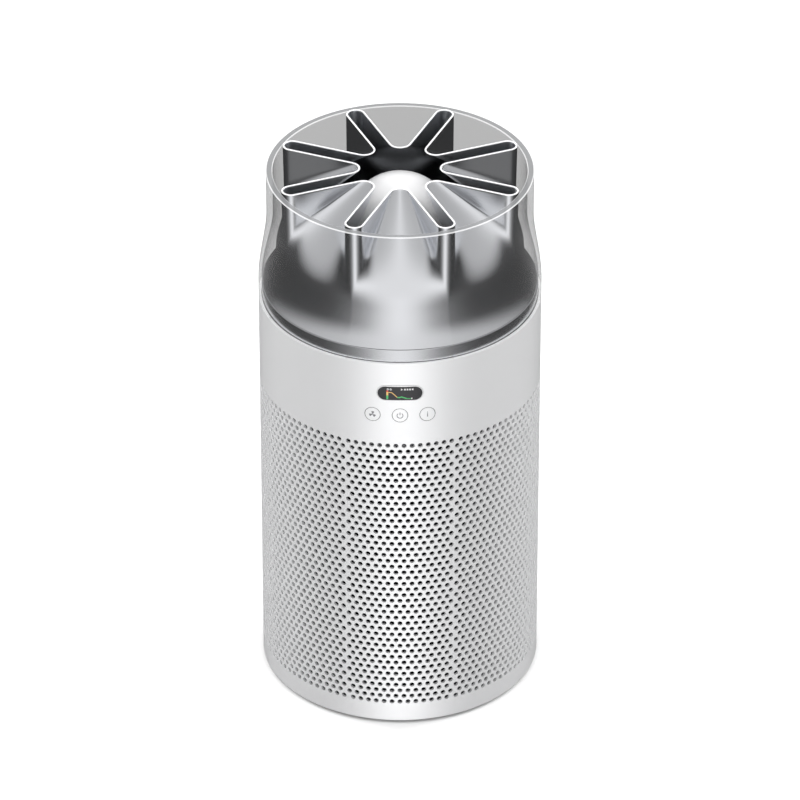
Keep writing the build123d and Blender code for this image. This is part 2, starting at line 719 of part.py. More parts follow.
def follows_lobe(edge, inset):
    """Whether an edge is where a lobe's side or a valley's floor meets the nozzle's outside."""
    middle = edge @ 0.5
    climb = abs((edge @ 0).Z - (edge @ 1).Z)
    outside = collar_radius - inset - 0.2
    return climb > LOBE_HALF_WIDTH and middle.Z > collar_z and middle.X**2 + middle.Y**2 > outside**2


def nozzle_body(inset):
    """The nozzle's outer form as a solid, drawn in evenly by inset."""
    pocket = valley_pocket(inset)
    with BuildPart() as body:
        with BuildSketch(Plane.XZ):
            with BuildLine():
                Polyline(
                    (collar_radius - inset, collar_z),
                    (lobe_radius - inset, nozzle_top),
                    (0, nozzle_top),
                    (0, nozzle_low),
                    (bell_foot - inset, nozzle_low),
                )
                TangentArc(
                    (collar_radius - inset, collar_z),
                    (bell_foot - inset, nozzle_low),
                    tangent=(0, -1),
                )
            make_face()
        revolve(axis=Axis.Z)
        with PolarLocations(0, LOBES):
            add(pocket, mode=Mode.SUBTRACT)
        lobe_edges = body.edges().filter_by(lambda edge: follows_lobe(edge, inset))
        fillet(lobe_edges, radius=LOBE_HALF_WIDTH - inset - TIP_FLAT)
    return body.part


with BuildPart() as star_nozzle:
    add(nozzle_body(0))
    add(nozzle_body(NOZZLE_WALL), mode=Mode.SUBTRACT)
    with BuildSketch(Plane.XY.offset(nozzle_low)):
        Circle(bell_foot - NOZZLE_WALL / 2)
        Circle(bell_foot - NOZZLE_FLANGE_DEPTH, mode=Mode.SUBTRACT)
    extrude(amount=2 * NOZZLE_WALL)
star_nozzle.part.label = "star_nozzle"
export_step(star_nozzle.part, "parts/star_nozzle.step")

RIM_EDGE = 0.8
with BuildPart() as clear_shell:
    with BuildSketch(Plane.XZ):
        with BuildLine():
            Line((CASING_RADIUS, shell_low), (CASING_RADIUS, flare_low))
            Spline(
                (CASING_RADIUS, flare_low),
                (shell_rim_radius, flare_high),
                tangents=[(0, 1), (0, 1)],
            )
            Polyline(
                (shell_rim_radius, flare_high),
                (shell_rim_radius, rim_z),
                (shell_rim_bore, rim_z),
                (shell_rim_bore, flare_high),
            )
            Spline(
                (shell_rim_bore, flare_high),
                (shell_foot_bore, flare_low),
                tangents=[(0, -1), (0, -1)],
            )
            Polyline(
                (shell_foot_bore, flare_low),
                (shell_foot_bore, shell_low),
                (CASING_RADIUS, shell_low),
            )
        make_face()
    revolve(axis=Axis.Z)
    fillet(clear_shell.edges().group_by(Axis.Z)[-1], radius=RIM_EDGE)
clear_shell.part.label = "clear_shell"
export_step(clear_shell.part, "parts/clear_shell.step")

# ---- Display and controls -----------------------------------------------------------------
with BuildPart() as display_bezel:
    with BuildSketch(Plane.XZ.offset(casing_bore / 2)):
        with Locations((0, display_z)):
            SlotOverall(DISPLAY_LENGTH, DISPLAY_HEIGHT)
            SlotOverall(
                DISPLAY_LENGTH - 2 * BEZEL_WIDTH,
                DISPLAY_HEIGHT - 2 * BEZEL_WIDTH,
                mode=Mode.SUBTRACT,
            )
    extrude(amount=CASING_RADIUS)
    with BuildSketch(Plane.XY.offset(display_z - DISPLAY_HEIGHT)):
        Circle(CASING_RADIUS + BEZEL_PROUD)
        Circle(casing_bore, mode=Mode.SUBTRACT)
    extrude(amount=2 * DISPLAY_HEIGHT, mode=Mode.INTERSECT)
display_bezel.part.label = "display_bezel"
export_step(display_bezel.part, "parts/display_bezel.step")

lens_length = DISPLAY_LENGTH - 2 * BEZEL_WIDTH - 2 * RUNNING
lens_height = DISPLAY_HEIGHT - 2 * BEZEL_WIDTH - 2 * RUNNING
with BuildPart() as display_lens:
    with BuildSketch(Plane.XZ.offset(casing_bore / 2)):
        with Locations((0, display_z)):
            SlotOverall(lens_length, lens_height)
    extrude(amount=CASING_RADIUS)
    with BuildSketch(Plane.XY.offset(display_z - DISPLAY_HEIGHT)):
        Circle(CASING_RADIUS)
        Circle(casing_bore, mode=Mode.SUBTRACT)
    extrude(amount=2 * DISPLAY_HEIGHT, mode=Mode.INTERSECT)
display_lens.part.label = "display_lens"
export_step(display_lens.part, "parts/display_lens.step")

module_front = casing_bore - 0.5 * lens_length**2 / (4 * casing_bore) - LOOSE
module_depth = module_front - board_face
with BuildPart() as display_module:
    with Locations((0, -board_face - module_depth / 2, display_z)):
        Box(lens_length - 2.0, module_depth, lens_height - 2.0)
display_module.part.label = "display_module"
export_step(display_module.part, "parts/display_module.step")

board_high = display_z + DISPLAY_HEIGHT
board_low = button_z - 2 * BUTTON_RADIUS
BOARD_WIDTH = 66.0
BOARD_SCREW_RADIUS = 1.0
board_middle = (board_low + board_high) / 2
board_screw_across = BOARD_WIDTH - 6.0
board_screw_up = board_high - board_low - 6.0
BRACKET_THICKNESS = 2.4
board_back = board_face - BOARD_THICKNESS
bracket_back = board_back - BRACKET_THICKNESS
with BuildPart() as control_board:
    with BuildSketch(Plane.XZ.offset(board_back)):
        with Locations((0, board_middle)):
            RectangleRounded(BOARD_WIDTH, board_high - board_low, radius=2.0)
            with GridLocations(board_screw_across, board_screw_up, 2, 2):
                Circle(BOARD_SCREW_RADIUS + SCREW_CLEARANCE, mode=Mode.SUBTRACT)
    extrude(amount=BOARD_THICKNESS)
control_board.part.label = "control_board"
export_step(control_board.part, "parts/control_board.step")

with BuildPart() as control_bracket:
    with BuildSketch(Plane.XZ.offset(bracket_back)):
        with Locations((0, (deck_high + board_high) / 2)):
            Rectangle(BOARD_WIDTH, board_high - deck_high)
        with Locations((0, board_middle)):
            Rectangle(board_screw_across - 12.0, board_screw_up - 12.0, mode=Mode.SUBTRACT)
            with GridLocations(board_screw_across, board_screw_up, 2, 2):
                Circle(BOARD_SCREW_RADIUS + SCREW_CLEARANCE, mode=Mode.SUBTRACT)
    extrude(amount=BRACKET_THICKNESS)
control_bracket.part.label = "control_bracket"
export_step(control_bracket.part, "parts/control_bracket.step")

with BuildPart() as board_screws:
    with BuildSketch(Plane.XZ.offset(board_face)):
        with Locations((0, board_middle)):
            with GridLocations(board_screw_across, board_screw_up, 2, 2):
                Circle(2 * BOARD_SCREW_RADIUS)
    extrude(amount=1.0)
    with BuildSketch(Plane.XZ.offset(board_face)):
        with Locations((0, board_middle)):
            with GridLocations(board_screw_across, board_screw_up, 2, 2):
                Circle(BOARD_SCREW_RADIUS)
    extrude(amount=-(BOARD_THICKNESS + BRACKET_THICKNESS))
board_screws.part.label = "board_screws"
export_step(board_screws.part, "parts/board_screws.step")

cap_flange_front = casing_bore - 0.7
cap_flange_back = cap_flange_front - 1.0
STEM_RADIUS = 2.0
STEM_LENGTH = 1.6
PRESS_GAP = 1.2
switch_front = cap_flange_back - STEM_LENGTH - PRESS_GAP
SWITCH_SIZE = 6.0
for name, azimuth in (("fan", -BUTTON_SPREAD), ("power", 0), ("info", BUTTON_SPREAD)):
    with BuildPart() as button:
        with BuildSketch(radial_plane(azimuth, cap_flange_back, button_z)):
            Circle(BUTTON_RADIUS)
        extrude(amount=CASING_RADIUS)
        with BuildSketch(Plane.XY.offset(button_z - 2 * BUTTON_RADIUS)):
            Circle(CASING_RADIUS)
        extrude(amount=4 * BUTTON_RADIUS, mode=Mode.INTERSECT)
        with BuildSketch(radial_plane(azimuth, cap_flange_back, button_z)):
            Circle(BUTTON_RADIUS + BUTTON_FLANGE)
        extrude(amount=cap_flange_front - cap_flange_back)
        with BuildSketch(radial_plane(azimuth, cap_flange_back, button_z)):
            Circle(STEM_RADIUS)
        extrude(amount=-STEM_LENGTH)
    button.part.label = f"{name}_button"
    export_step(button.part, f"parts/{name}_button.step")

with BuildPart() as button_switches:
    for azimuth in (-BUTTON_SPREAD, 0, BUTTON_SPREAD):
        across = cap_flange_back * sin(radians(azimuth))
        with BuildSketch(Plane.XZ.offset(board_face)):
            with Locations((across, button_z)):
                Rectangle(SWITCH_SIZE, SWITCH_SIZE)
        extrude(amount=(switch_front - 1.0) * cos(radians(azimuth)) - board_face)
        with BuildSketch(Plane.XZ.offset(board_face)):
            with Locations((across, button_z)):
                Circle(STEM_RADIUS - 0.3)
        extrude(amount=switch_front * cos(radians(azimuth)) - board_face)
button_switches.part.label = "button_switches"
export_step(button_switches.part, "parts/button_switches.step")

# ---- Power and sensing --------------------------------------------------------------------
socket_back = casing_bore - 15.0
PLUG_LOBE = 4.5
PLUG_DEPTH = 12.0
with BuildPart() as power_inlet:
    with BuildSketch(radial_plane(180, socket_back, socket_z)):
        RectangleRounded(SOCKET_WIDTH, SOCKET_HEIGHT, radius=2.8)
    extrude(amount=CASING_RADIUS)
    with BuildSketch(Plane.XY.offset(socket_z - SOCKET_HEIGHT)):
        Circle(CASING_RADIUS)
    extrude(amount=2 * SOCKET_HEIGHT, mode=Mode.INTERSECT)
    with BuildSketch(radial_plane(180, CASING_RADIUS - PLUG_DEPTH, socket_z)):
        SlotOverall(PIN_SPACING + 2 * PLUG_LOBE, 2 * PLUG_LOBE)
    extrude(amount=CASING_RADIUS, mode=Mode.SUBTRACT)
    with BuildSketch(radial_plane(180, socket_back, socket_z)):
        with GridLocations(PIN_SPACING, 1, 2, 1):
            Circle(PIN_RADIUS + SEAT)
    extrude(amount=CASING_RADIUS, mode=Mode.SUBTRACT)
power_inlet.part.label = "power_inlet"
export_step(power_inlet.part, "parts/power_inlet.step")

with BuildPart() as inlet_pins:
    with BuildSketch(radial_plane(180, socket_back - 2.0, socket_z)):
        with GridLocations(PIN_SPACING, 1, 2, 1):
            Circle(PIN_RADIUS)
    extrude(amount=CASING_RADIUS - 3.0 - (socket_back - 2.0))
inlet_pins.part.label = "inlet_pins"
export_step(inlet_pins.part, "parts/inlet_pins.step")

MAIN_BOARD_WIDTH = 58.0
main_board_radius = skirt_outer + 5.0
main_board_high = flange_low - 6.0
main_board_height = main_board_high - deck_high - 2.0
GUIDE_DEPTH = 5.0
with BuildPart() as main_board:
    with BuildSketch(radial_plane(90, main_board_radius, main_board_high - main_board_height / 2)):
        Rectangle(MAIN_BOARD_WIDTH, main_board_height)
    extrude(amount=BOARD_THICKNESS)
main_board.part.label = "main_board"
export_step(main_board.part, "parts/main_board.step")

with BuildPart() as card_guides:
    with BuildSketch(Plane.XY.offset(deck_high)):
        for side in (-1, 1):
            with Locations((main_board_radius + BOARD_THICKNESS / 2, side * MAIN_BOARD_WIDTH / 2)):
                Rectangle(BOARD_THICKNESS + 4.0, GUIDE_DEPTH)
                with Locations((0, -side * GUIDE_DEPTH / 4)):
                    Rectangle(
                        BOARD_THICKNESS + 2 * SEAT,
                        GUIDE_DEPTH / 2 + 2 * SEAT,
                        mode=Mode.SUBTRACT,
                    )
    extrude(amount=main_board_high - deck_high - 8.0)
card_guides.part.label = "card_guides"
export_step(card_guides.part, "parts/card_guides.step")

COMPONENT_DEPTH = 7.0
CHOKE_LENGTH = 20.0
CHOKE_HEIGHT = 18.0
COMPONENT_SPREAD = 14.0
CAPACITOR_RADIUS = 6.0
CHIPS = 4
CHIP_WIDTH = 8.0
CHIP_HEIGHT = 14.0
CHIP_PITCH = 12.0
component_face = main_board_radius + BOARD_THICKNESS
component_base = main_board_high - main_board_height
with BuildPart() as board_components:
    with BuildSketch(radial_plane(90, component_face, component_base + main_board_height / 4)):
        with Locations((-COMPONENT_SPREAD, 0)):
            Rectangle(CHOKE_LENGTH, CHOKE_HEIGHT)
        with Locations((COMPONENT_SPREAD, 0)):
            Circle(CAPACITOR_RADIUS)
    extrude(amount=COMPONENT_DEPTH)
    with BuildSketch(radial_plane(90, component_face, component_base + 0.7 * main_board_height)):
        with GridLocations(CHIP_PITCH, 1, CHIPS, 1):
            Rectangle(CHIP_WIDTH, CHIP_HEIGHT)
    extrude(amount=COMPONENT_DEPTH / 2)
board_components.part.label = "board_components"
export_step(board_components.part, "parts/board_components.step")

SENSOR_DEPTH = 13.0
SENSOR_WIDTH = 38.0
SENSOR_HEIGHT = 40.0
SENSOR_PORT_RADIUS = 5.0
SENSOR_PORT_DEPTH = 4.0
sensor_face = skirt_outer + 2.0
with BuildPart() as particle_sensor:
    with Locations((-sensor_face - SENSOR_DEPTH / 2, 0, deck_high + SENSOR_HEIGHT / 2)):
        Box(SENSOR_DEPTH, SENSOR_WIDTH, SENSOR_HEIGHT)
    sensor_outer = particle_sensor.faces().sort_by(Axis.X)[0]
    with BuildSketch(sensor_outer):
        Circle(SENSOR_PORT_RADIUS)
    extrude(amount=-SENSOR_PORT_DEPTH, mode=Mode.SUBTRACT)
    fillet(particle_sensor.edges().filter_by(Axis.Z), radius=1.5)
particle_sensor.part.label = "particle_sensor"
export_step(particle_sensor.part, "parts/particle_sensor.step")
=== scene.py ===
import json
from math import asin, atan2, cos, hypot, pi, radians, sin, sqrt, tan

import bpy
import numpy as np
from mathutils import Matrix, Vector
from mathutils.geometry import delaunay_2d_cdt


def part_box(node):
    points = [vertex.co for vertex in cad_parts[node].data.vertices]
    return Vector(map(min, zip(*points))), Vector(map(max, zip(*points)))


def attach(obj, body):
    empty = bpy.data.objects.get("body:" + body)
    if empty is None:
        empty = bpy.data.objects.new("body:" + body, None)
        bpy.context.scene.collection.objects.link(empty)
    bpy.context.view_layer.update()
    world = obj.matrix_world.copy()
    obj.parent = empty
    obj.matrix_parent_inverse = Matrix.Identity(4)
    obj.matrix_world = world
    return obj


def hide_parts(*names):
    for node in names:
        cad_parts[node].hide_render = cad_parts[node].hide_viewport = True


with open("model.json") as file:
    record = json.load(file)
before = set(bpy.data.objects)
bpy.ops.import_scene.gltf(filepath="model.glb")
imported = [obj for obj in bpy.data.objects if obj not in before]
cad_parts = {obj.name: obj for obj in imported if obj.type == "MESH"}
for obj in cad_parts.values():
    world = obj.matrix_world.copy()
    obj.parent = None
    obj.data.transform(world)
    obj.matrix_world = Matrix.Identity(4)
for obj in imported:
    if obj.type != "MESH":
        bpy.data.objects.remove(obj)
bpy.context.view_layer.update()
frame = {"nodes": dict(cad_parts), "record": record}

# Metres, +Z up, the controls face -Y. An azimuth is an angle about +Z, counted from the front,
# positive towards +X.
MM = 0.001

# ---- Sizes read from the frame ------------------------------------------------------------
casing_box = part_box("outer_casing")
CASING_RADIUS = casing_box[1].x
CASING_LOW = casing_box[0].z
CASING_HIGH = casing_box[1].z
CASING_WALL = 2.2 * MM
CASING_EDGE = 1.2 * MM
CASING_TOP_EDGE = 0.5 * MM

shell_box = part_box("clear_shell")
SHELL_LOW = shell_box[0].z
RIM_Z = shell_box[1].z
SHELL_RIM_RADIUS = 107.0 * MM
SHELL_RIM_BORE = 101.7 * MM
SHELL_FOOT_BORE = CASING_RADIUS - 2.5 * MM
FLARE_LOW = CASING_HIGH + 12.4 * MM
FLARE_HIGH = FLARE_LOW + 62.0 * MM

nozzle_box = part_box("star_nozzle")
NOZZLE_TOP = nozzle_box[1].z
NOZZLE_LOW = nozzle_box[0].z
BELL_FOOT_RADIUS = nozzle_box[1].x
COLLAR_Z = NOZZLE_TOP - 71.0 * MM
COLLAR_RADIUS = 100.0 * MM
LOBES = 8
LOBE_RADIUS = 101.2 * MM
LOBE_HALF_WIDTH = 7.9 * MM
VALLEY_NOSE = 7.8 * MM
NOZZLE_WALL = 1.5 * MM

cone_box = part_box("nose_cone")
DOME_RADIUS = 43.5 * MM
DOME_CENTRE = cone_box[1].z - DOME_RADIUS
DOME_FOOT_RADIUS = cone_box[1].x
DOME_WALL = 2.0 * MM

band_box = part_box("shoulder_ring")
bezel_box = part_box("display_bezel")
media_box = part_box("filter_media")

# The air holes: rows of holes in eight sectors, with one hole more in every second row.
SECTORS = 8
HOLE_ROWS = 46
HOLE_RADIUS = 2.07 * MM
HOLE_PITCH = 0.05718
HOLE_TOP_ROW = CASING_HIGH - 76.9 * MM
HOLE_ROW_PITCH = 5.53 * MM
HOLE_SIDES = 16

BUTTONS = {"fan_button": ("fan_key", -11.08), "power_button": ("power_key", 0.0),
           "info_button": ("info_key", 11.08)}
BUTTON_RADIUS = 6.0 * MM
BUTTON_HOLE_RADIUS = 6.5 * MM
BUTTON_Z = (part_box("power_button")[0].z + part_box("power_button")[1].z) / 2


# ---- Mesh helpers -------------------------------------------------------------------------
def new_piece(name, vertices, faces, material, sharp=None):
    """A mesh object from points and faces, smooth but for edges sharper than sharp degrees."""
    mesh = bpy.data.meshes.new(name)
    mesh.from_pydata([tuple(v) for v in vertices], [], [tuple(f) for f in faces])
    mesh.update()
    piece = bpy.data.objects.new(name, mesh)
    bpy.context.scene.collection.objects.link(piece)
    mesh.materials.append(material)
    mesh.polygons.foreach_set("use_smooth", [True] * len(mesh.polygons))
    if sharp is not None:
        mesh.set_sharp_from_angle(angle=radians(sharp))
    return piece


def place(piece, body, slot, *nodes):
    """Lets a finished piece ride on its body, standing for its nodes. The slot is not used."""
    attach(piece, body)
    if nodes:
        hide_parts(*nodes)
    return piece


def arc_points(centre, radius, start, end, steps):
    """Points along an arc in the (r, z) plane, its angles in degrees from +r."""
    turns = [radians(start + (end - start) * i / steps) for i in range(steps + 1)]
    return [(centre[0] + radius * cos(t), centre[1] + radius * sin(t)) for t in turns]


def flare_points(low, high, steps):
    """An S-curve that leaves low and reaches high straight up."""
    shares = [i / steps for i in range(steps + 1)]
    ease = [s * s * (3 - 2 * s) for s in shares]
    return [(low[0] + (high[0] - low[0]) * e, low[1] + (high[1] - low[1]) * s)
            for s, e in zip(shares, ease)]


def lathe(name, profile, material, segments=192, sharp=35):
    """A closed ring turned about Z from a closed outline in the (r, z) plane.
    An outline point on the axis becomes one vertex."""
    vertices, rings = [], []
    for r, z in profile:
        if r < 1e-7:
            rings.append([len(vertices)] * segments)
            vertices.append((0, 0, z))
        else:
            rings.append(list(range(len(vertices), len(vertices) + segments)))
            for k in range(segments):
                turn = 2 * pi * k / segments
                vertices.append((r * sin(turn), -r * cos(turn), z))
    faces = []
    for i, ring in enumerate(rings):
        above = rings[(i + 1) % len(rings)]
        if ring[0] == ring[1] and above[0] == above[1]:
            continue
        for k in range(segments):
            j = (k + 1) % segments
            loop = (ring[k], ring[j], above[j], above[k])
            faces.append(tuple(dict.fromkeys(loop)))
    return new_piece(name, vertices, faces, material, sharp)


# ---- Material helpers ---------------------------------------------------------------------
def new_material(name):
    material = bpy.data.materials.new(name)
    material.use_nodes = True
    nodes = material.node_tree.nodes
    return material, nodes, material.node_tree.links, nodes["Principled BSDF"]


def surface(name, colour, metallic, roughness, grain=400.0, stretch=(1, 1, 1), variation=0.03,
            rough_variation=0.05, bump=0.02, coat=0.0, specular=0.5, bump_distance=0.0002):
    """A procedural surface: grain varies the colour, the roughness and the relief.
    grain is in waves per metre, and stretch makes it run along an axis, as brushing does."""
    material, nodes, links, shader = new_material(name)
    place_node = nodes.new("ShaderNodeTexCoord")
    mapping = nodes.new("ShaderNodeMapping")
    mapping.inputs["Scale"].default_value = stretch
    links.new(place_node.outputs["Object"], mapping.inputs["Vector"])
    noise = nodes.new("ShaderNodeTexNoise")
    noise.inputs["Scale"].default_value = grain
    noise.inputs["Detail"].default_value = 4.0
    links.new(mapping.outputs["Vector"], noise.inputs["Vector"])
    tint = nodes.new("ShaderNodeMapRange")
    tint.inputs["To Min"].default_value = 1.0 - variation
    tint.inputs["To Max"].default_value = 1.0 + variation
    links.new(noise.outputs["Fac"], tint.inputs["Value"])
    shade = nodes.new("ShaderNodeVectorMath")
    shade.operation = "SCALE"
    shade.inputs[0].default_value = colour[:3]
    links.new(tint.outputs["Result"], shade.inputs["Scale"])
    links.new(shade.outputs["Vector"], shader.inputs["Base Color"])
    rough = nodes.new("ShaderNodeMapRange")
    rough.inputs["To Min"].default_value = max(0.0, roughness - rough_variation)
    rough.inputs["To Max"].default_value = min(1.0, roughness + rough_variation)
    links.new(noise.outputs["Fac"], rough.inputs["Value"])
    links.new(rough.outputs["Result"], shader.inputs["Roughness"])
    relief = nodes.new("ShaderNodeBump")
    relief.inputs["Strength"].default_value = bump
    relief.inputs["Distance"].default_value = bump_distance
    links.new(noise.outputs["Fac"], relief.inputs["Height"])
    links.new(relief.outputs["Normal"], shader.inputs["Normal"])
    shader.inputs["Metallic"].default_value = metallic
    shader.inputs["Coat Weight"].default_value = coat
    shader.inputs["Specular IOR Level"].default_value = specular
    return material


def paint_shade_below(material, low, high, darkness):
    """Paints shade: fades a surface's colour to a share of itself from height high down to height
    low.
    """
    nodes, links = material.node_tree.nodes, material.node_tree.links
    shader = nodes["Principled BSDF"]
    source = shader.inputs["Base Color"].links[0].from_socket
    place_node = nodes.new("ShaderNodeTexCoord")
    split = nodes.new("ShaderNodeSeparateXYZ")
    fade = nodes.new("ShaderNodeMapRange")
    fade.interpolation_type = "SMOOTHSTEP"
    fade.inputs["From Min"].default_value = low
    fade.inputs["From Max"].default_value = high
    fade.inputs["To Min"].default_value = darkness
    fade.inputs["To Max"].default_value = 1.0
    scale = nodes.new("ShaderNodeVectorMath")
    scale.operation = "SCALE"
    links.new(place_node.outputs["Object"], split.inputs["Vector"])
    links.new(split.outputs["Z"], fade.inputs["Value"])
    links.new(source, scale.inputs[0])
    links.new(fade.outputs["Result"], scale.inputs["Scale"])
    links.new(scale.outputs["Vector"], shader.inputs["Base Color"])
    return material


# ---- Materials ----------------------------------------------------------------------------
casing_silver = surface("casing_silver", (0.93, 0.933, 0.94), 0.55, 0.34, grain=2600,
                        variation=0.012, rough_variation=0.04, bump=0.03, bump_distance=0.00003)
casing_inside = surface("casing_inside", (0.03, 0.03, 0.033), 0.0, 0.6, grain=2600,
                        variation=0.05, bump=0.05)
nozzle_silver = surface("nozzle_silver", (0.80, 0.81, 0.83), 1.0, 0.20, grain=900,
                        stretch=(1, 1, 0.06), variation=0.015, rough_variation=0.03, bump=0.02,
                        bump_distance=0.00004)
nozzle_inside = surface("nozzle_inside", (0.78, 0.80, 0.83), 1.0, 0.32, grain=900,
                        stretch=(1, 1, 0.06), variation=0.02, bump=0.02, bump_distance=0.00004)
# Painted shade: the nozzle's inside darkens deeper down the lobes, where shade falls.
paint_shade_below(nozzle_inside, NOZZLE_TOP - 60 * MM, NOZZLE_TOP - 4 * MM, 0.28)
# Painted highlight: the nozzle's rounded lip is a whiter, less metallic copy of its metal, for the
# bright line the lip catches.
nozzle_lip_highlight = surface("nozzle_lip_highlight", (0.97, 0.97, 0.98), 0.2, 0.3, grain=1500,
                      variation=0.01, bump=0.01, bump_distance=0.00003)
band_silver = surface("band_silver", (0.80, 0.81, 0.83), 1.0, 0.24, grain=1200,
                      stretch=(1, 1, 12), variation=0.02, bump=0.02, bump_distance=0.00004)
dome_silver = surface("dome_silver", (0.88, 0.88, 0.885), 0.3, 0.36, grain=2600, variation=0.012,
                      bump=0.03, bump_distance=0.00003)
bezel_bright = surface("bezel_bright", (0.95, 0.95, 0.95), 0.9, 0.15, grain=1500, bump=0.01)
display_black = surface("display_black", (0.006, 0.006, 0.008), 0.0, 0.06, grain=300,
                        rough_variation=0.02, bump=0.002, coat=0.6)
slot_materials = {
    "casing_silver": casing_silver,
    "nozzle_silver": nozzle_silver,
    "band_silver": band_silver,
    "dome_silver": dome_silver,
    "bezel_bright": bezel_bright,
    "display_black": display_black,
    "foot_rubber": surface("foot_rubber", (0.02, 0.02, 0.022), 0.0, 0.75, grain=1800,
                           variation=0.15, bump=0.25),
    "seal_rubber": surface("seal_rubber", (0.03, 0.03, 0.033), 0.0, 0.7, grain=1500,
                           variation=0.12, bump=0.2),
    "dark_plastic": surface("dark_plastic", (0.022, 0.022, 0.025), 0.0, 0.55, grain=2200,
                            variation=0.10, bump=0.15),
    "fan_plastic": surface("fan_plastic", (0.05, 0.055, 0.065), 0.0, 0.35, grain=1800,
                           variation=0.06, bump=0.06),
    "filter_frame": surface("filter_frame", (0.62, 0.63, 0.66), 0.0, 0.45, grain=1600,
                            variation=0.04, bump=0.08),
    "filter_paper": surface("filter_paper", (0.022, 0.023, 0.026), 0.0, 0.95, grain=2600,
                            stretch=(1, 1, 0.2), variation=0.25, bump=0.5, specular=0.2),
    "carbon_granules": surface("carbon_granules", (0.012, 0.012, 0.012), 0.0, 0.9, grain=500,
                               variation=0.4, bump=1.0, bump_distance=0.001),
    "steel": surface("steel", (0.58, 0.58, 0.60), 1.0, 0.28, grain=1500, stretch=(1, 1, 8),
                     variation=0.05, bump=0.05),
    "motor_can": surface("motor_can", (0.42, 0.43, 0.45), 1.0, 0.35, grain=1500,
                         stretch=(1, 1, 8), variation=0.05, bump=0.05),
    "copper": surface("copper", (0.72, 0.34, 0.16), 1.0, 0.3, grain=2500, stretch=(1, 1, 0.1),
                      variation=0.10, bump=0.3),
    "magnet": surface("magnet", (0.10, 0.10, 0.11), 0.8, 0.45, grain=1200, variation=0.1, bump=0.1),
    "pin_brass": surface("pin_brass", (0.80, 0.68, 0.40), 1.0, 0.22, grain=1500, bump=0.03),
    "board_green": surface("board_green", (0.012, 0.10, 0.04), 0.0, 0.35, grain=900,
                           variation=0.15, bump=0.1, coat=0.3),
    "component_black": surface("component_black", (0.02, 0.02, 0.022), 0.0, 0.45, grain=1500,
                               variation=0.1, bump=0.1),
}


def clear_material(name, facing_on, edge_on, colour, roughness, falloff=5.0):
    """Clear acrylic drawn by alpha: nearly nothing where it is seen face on, and where it is seen
    edge on its colour shows as a painted reflection.
    """
    material, nodes, links, shader = new_material(name)
    place_node = nodes.new("ShaderNodeTexCoord")
    noise = nodes.new("ShaderNodeTexNoise")
    noise.inputs["Scale"].default_value = 60.0
    links.new(place_node.outputs["Object"], noise.inputs["Vector"])
    rough = nodes.new("ShaderNodeMapRange")
    rough.inputs["To Min"].default_value = roughness
    rough.inputs["To Max"].default_value = roughness + 0.04
    links.new(noise.outputs["Fac"], rough.inputs["Value"])
    links.new(rough.outputs["Result"], shader.inputs["Roughness"])
    weight = nodes.new("ShaderNodeLayerWeight")
    weight.inputs["Blend"].default_value = 0.5
    steep = nodes.new("ShaderNodeMath")
    steep.operation = "POWER"
    steep.inputs[1].default_value = falloff
    links.new(weight.outputs["Facing"], steep.inputs[0])
    cover = nodes.new("ShaderNodeMapRange")
    cover.inputs["To Min"].default_value = facing_on
    cover.inputs["To Max"].default_value = edge_on
    links.new(steep.outputs["Value"], cover.inputs["Value"])
    links.new(cover.outputs["Result"], shader.inputs["Alpha"])
    shader.inputs["Base Color"].default_value = (*colour, 1)
    shader.inputs["IOR"].default_value = 1.49
    return material


# Painted reflection: the shell turns pale white where seen edge on, for the bright studio it
# reflects.
slot_materials["clear_acrylic"] = clear_material(
    "clear_acrylic", 0.01, 0.95, (0.96, 0.96, 0.97), 0.02, falloff=7.0)
# Painted reflection: the shell's inner faces darken to near black where seen edge on, for the dark
# nozzle they reflect.
shell_inside_painted_reflection = clear_material("shell_inside_painted_reflection", 0.0, 0.85, (0.02, 0.02, 0.022), 0.05, falloff=5.0)
# Painted reflection: the rim's flat top is a mostly opaque grey, for the studio it reflects.
rim_painted_reflection = clear_material("rim_painted_reflection", 0.72, 0.8, (0.24, 0.245, 0.25), 0.08)
# Painted highlight: the rim's rounded edges are a mostly opaque white, for the bright lines they
# catch.
rim_edge_highlight = clear_material("rim_edge_highlight", 0.55, 0.95, (0.90, 0.90, 0.91), 0.05)


def glow_material(name, colour, strength):
    """A lit part of the display, with a faint pixel pattern."""
    material, nodes, links, shader = new_material(name)
    place_node = nodes.new("ShaderNodeTexCoord")
    pixels = nodes.new("ShaderNodeTexNoise")
    pixels.inputs["Scale"].default_value = 4000.0
    links.new(place_node.outputs["Object"], pixels.inputs["Vector"])
    level = nodes.new("ShaderNodeMapRange")
    level.inputs["To Min"].default_value = 0.85 * strength
    level.inputs["To Max"].default_value = 1.15 * strength
    links.new(pixels.outputs["Fac"], level.inputs["Value"])
    links.new(level.outputs["Result"], shader.inputs["Emission Strength"])
    shader.inputs["Base Color"].default_value = (0.01, 0.01, 0.01, 1)
    shader.inputs["Emission Color"].default_value = (*colour, 1)
    return material


# Every carried-over CAD node takes the procedural material of its slot.
node_slots = {s["node"]: s["material_slot"] for s in frame["record"]["subparts"]}
for node_name, node in frame["nodes"].items():
    node.data.materials.clear()
    node.data.materials.append(slot_materials[node_slots[node_name]])


# ---- Casing -------------------------------------------------------------------------------
def hole_count(sector, row):
    return 14 if (row + sector) % 2 == 0 else 13


def ring_outline(centre, radius, sides):
    turns = [2 * pi * k / sides for k in range(sides)]
    return [(centre[0] + radius * cos(t), centre[1] + radius * sin(t)) for t in turns]


def slot_outline(centre, half_length, half_height, steps):
    """A stadium: two half circles joined by straight sides, counter-clockwise."""
    reach = half_length - half_height
    ends = []
    for side, start in ((1, -90), (-1, 90)):
        for k in range(steps + 1):
            turn = radians(start + 180 * k / steps)
            ends.append((centre[0] + side * reach + half_height * cos(turn),
                         centre[1] + half_height * sin(turn)))
    return ends


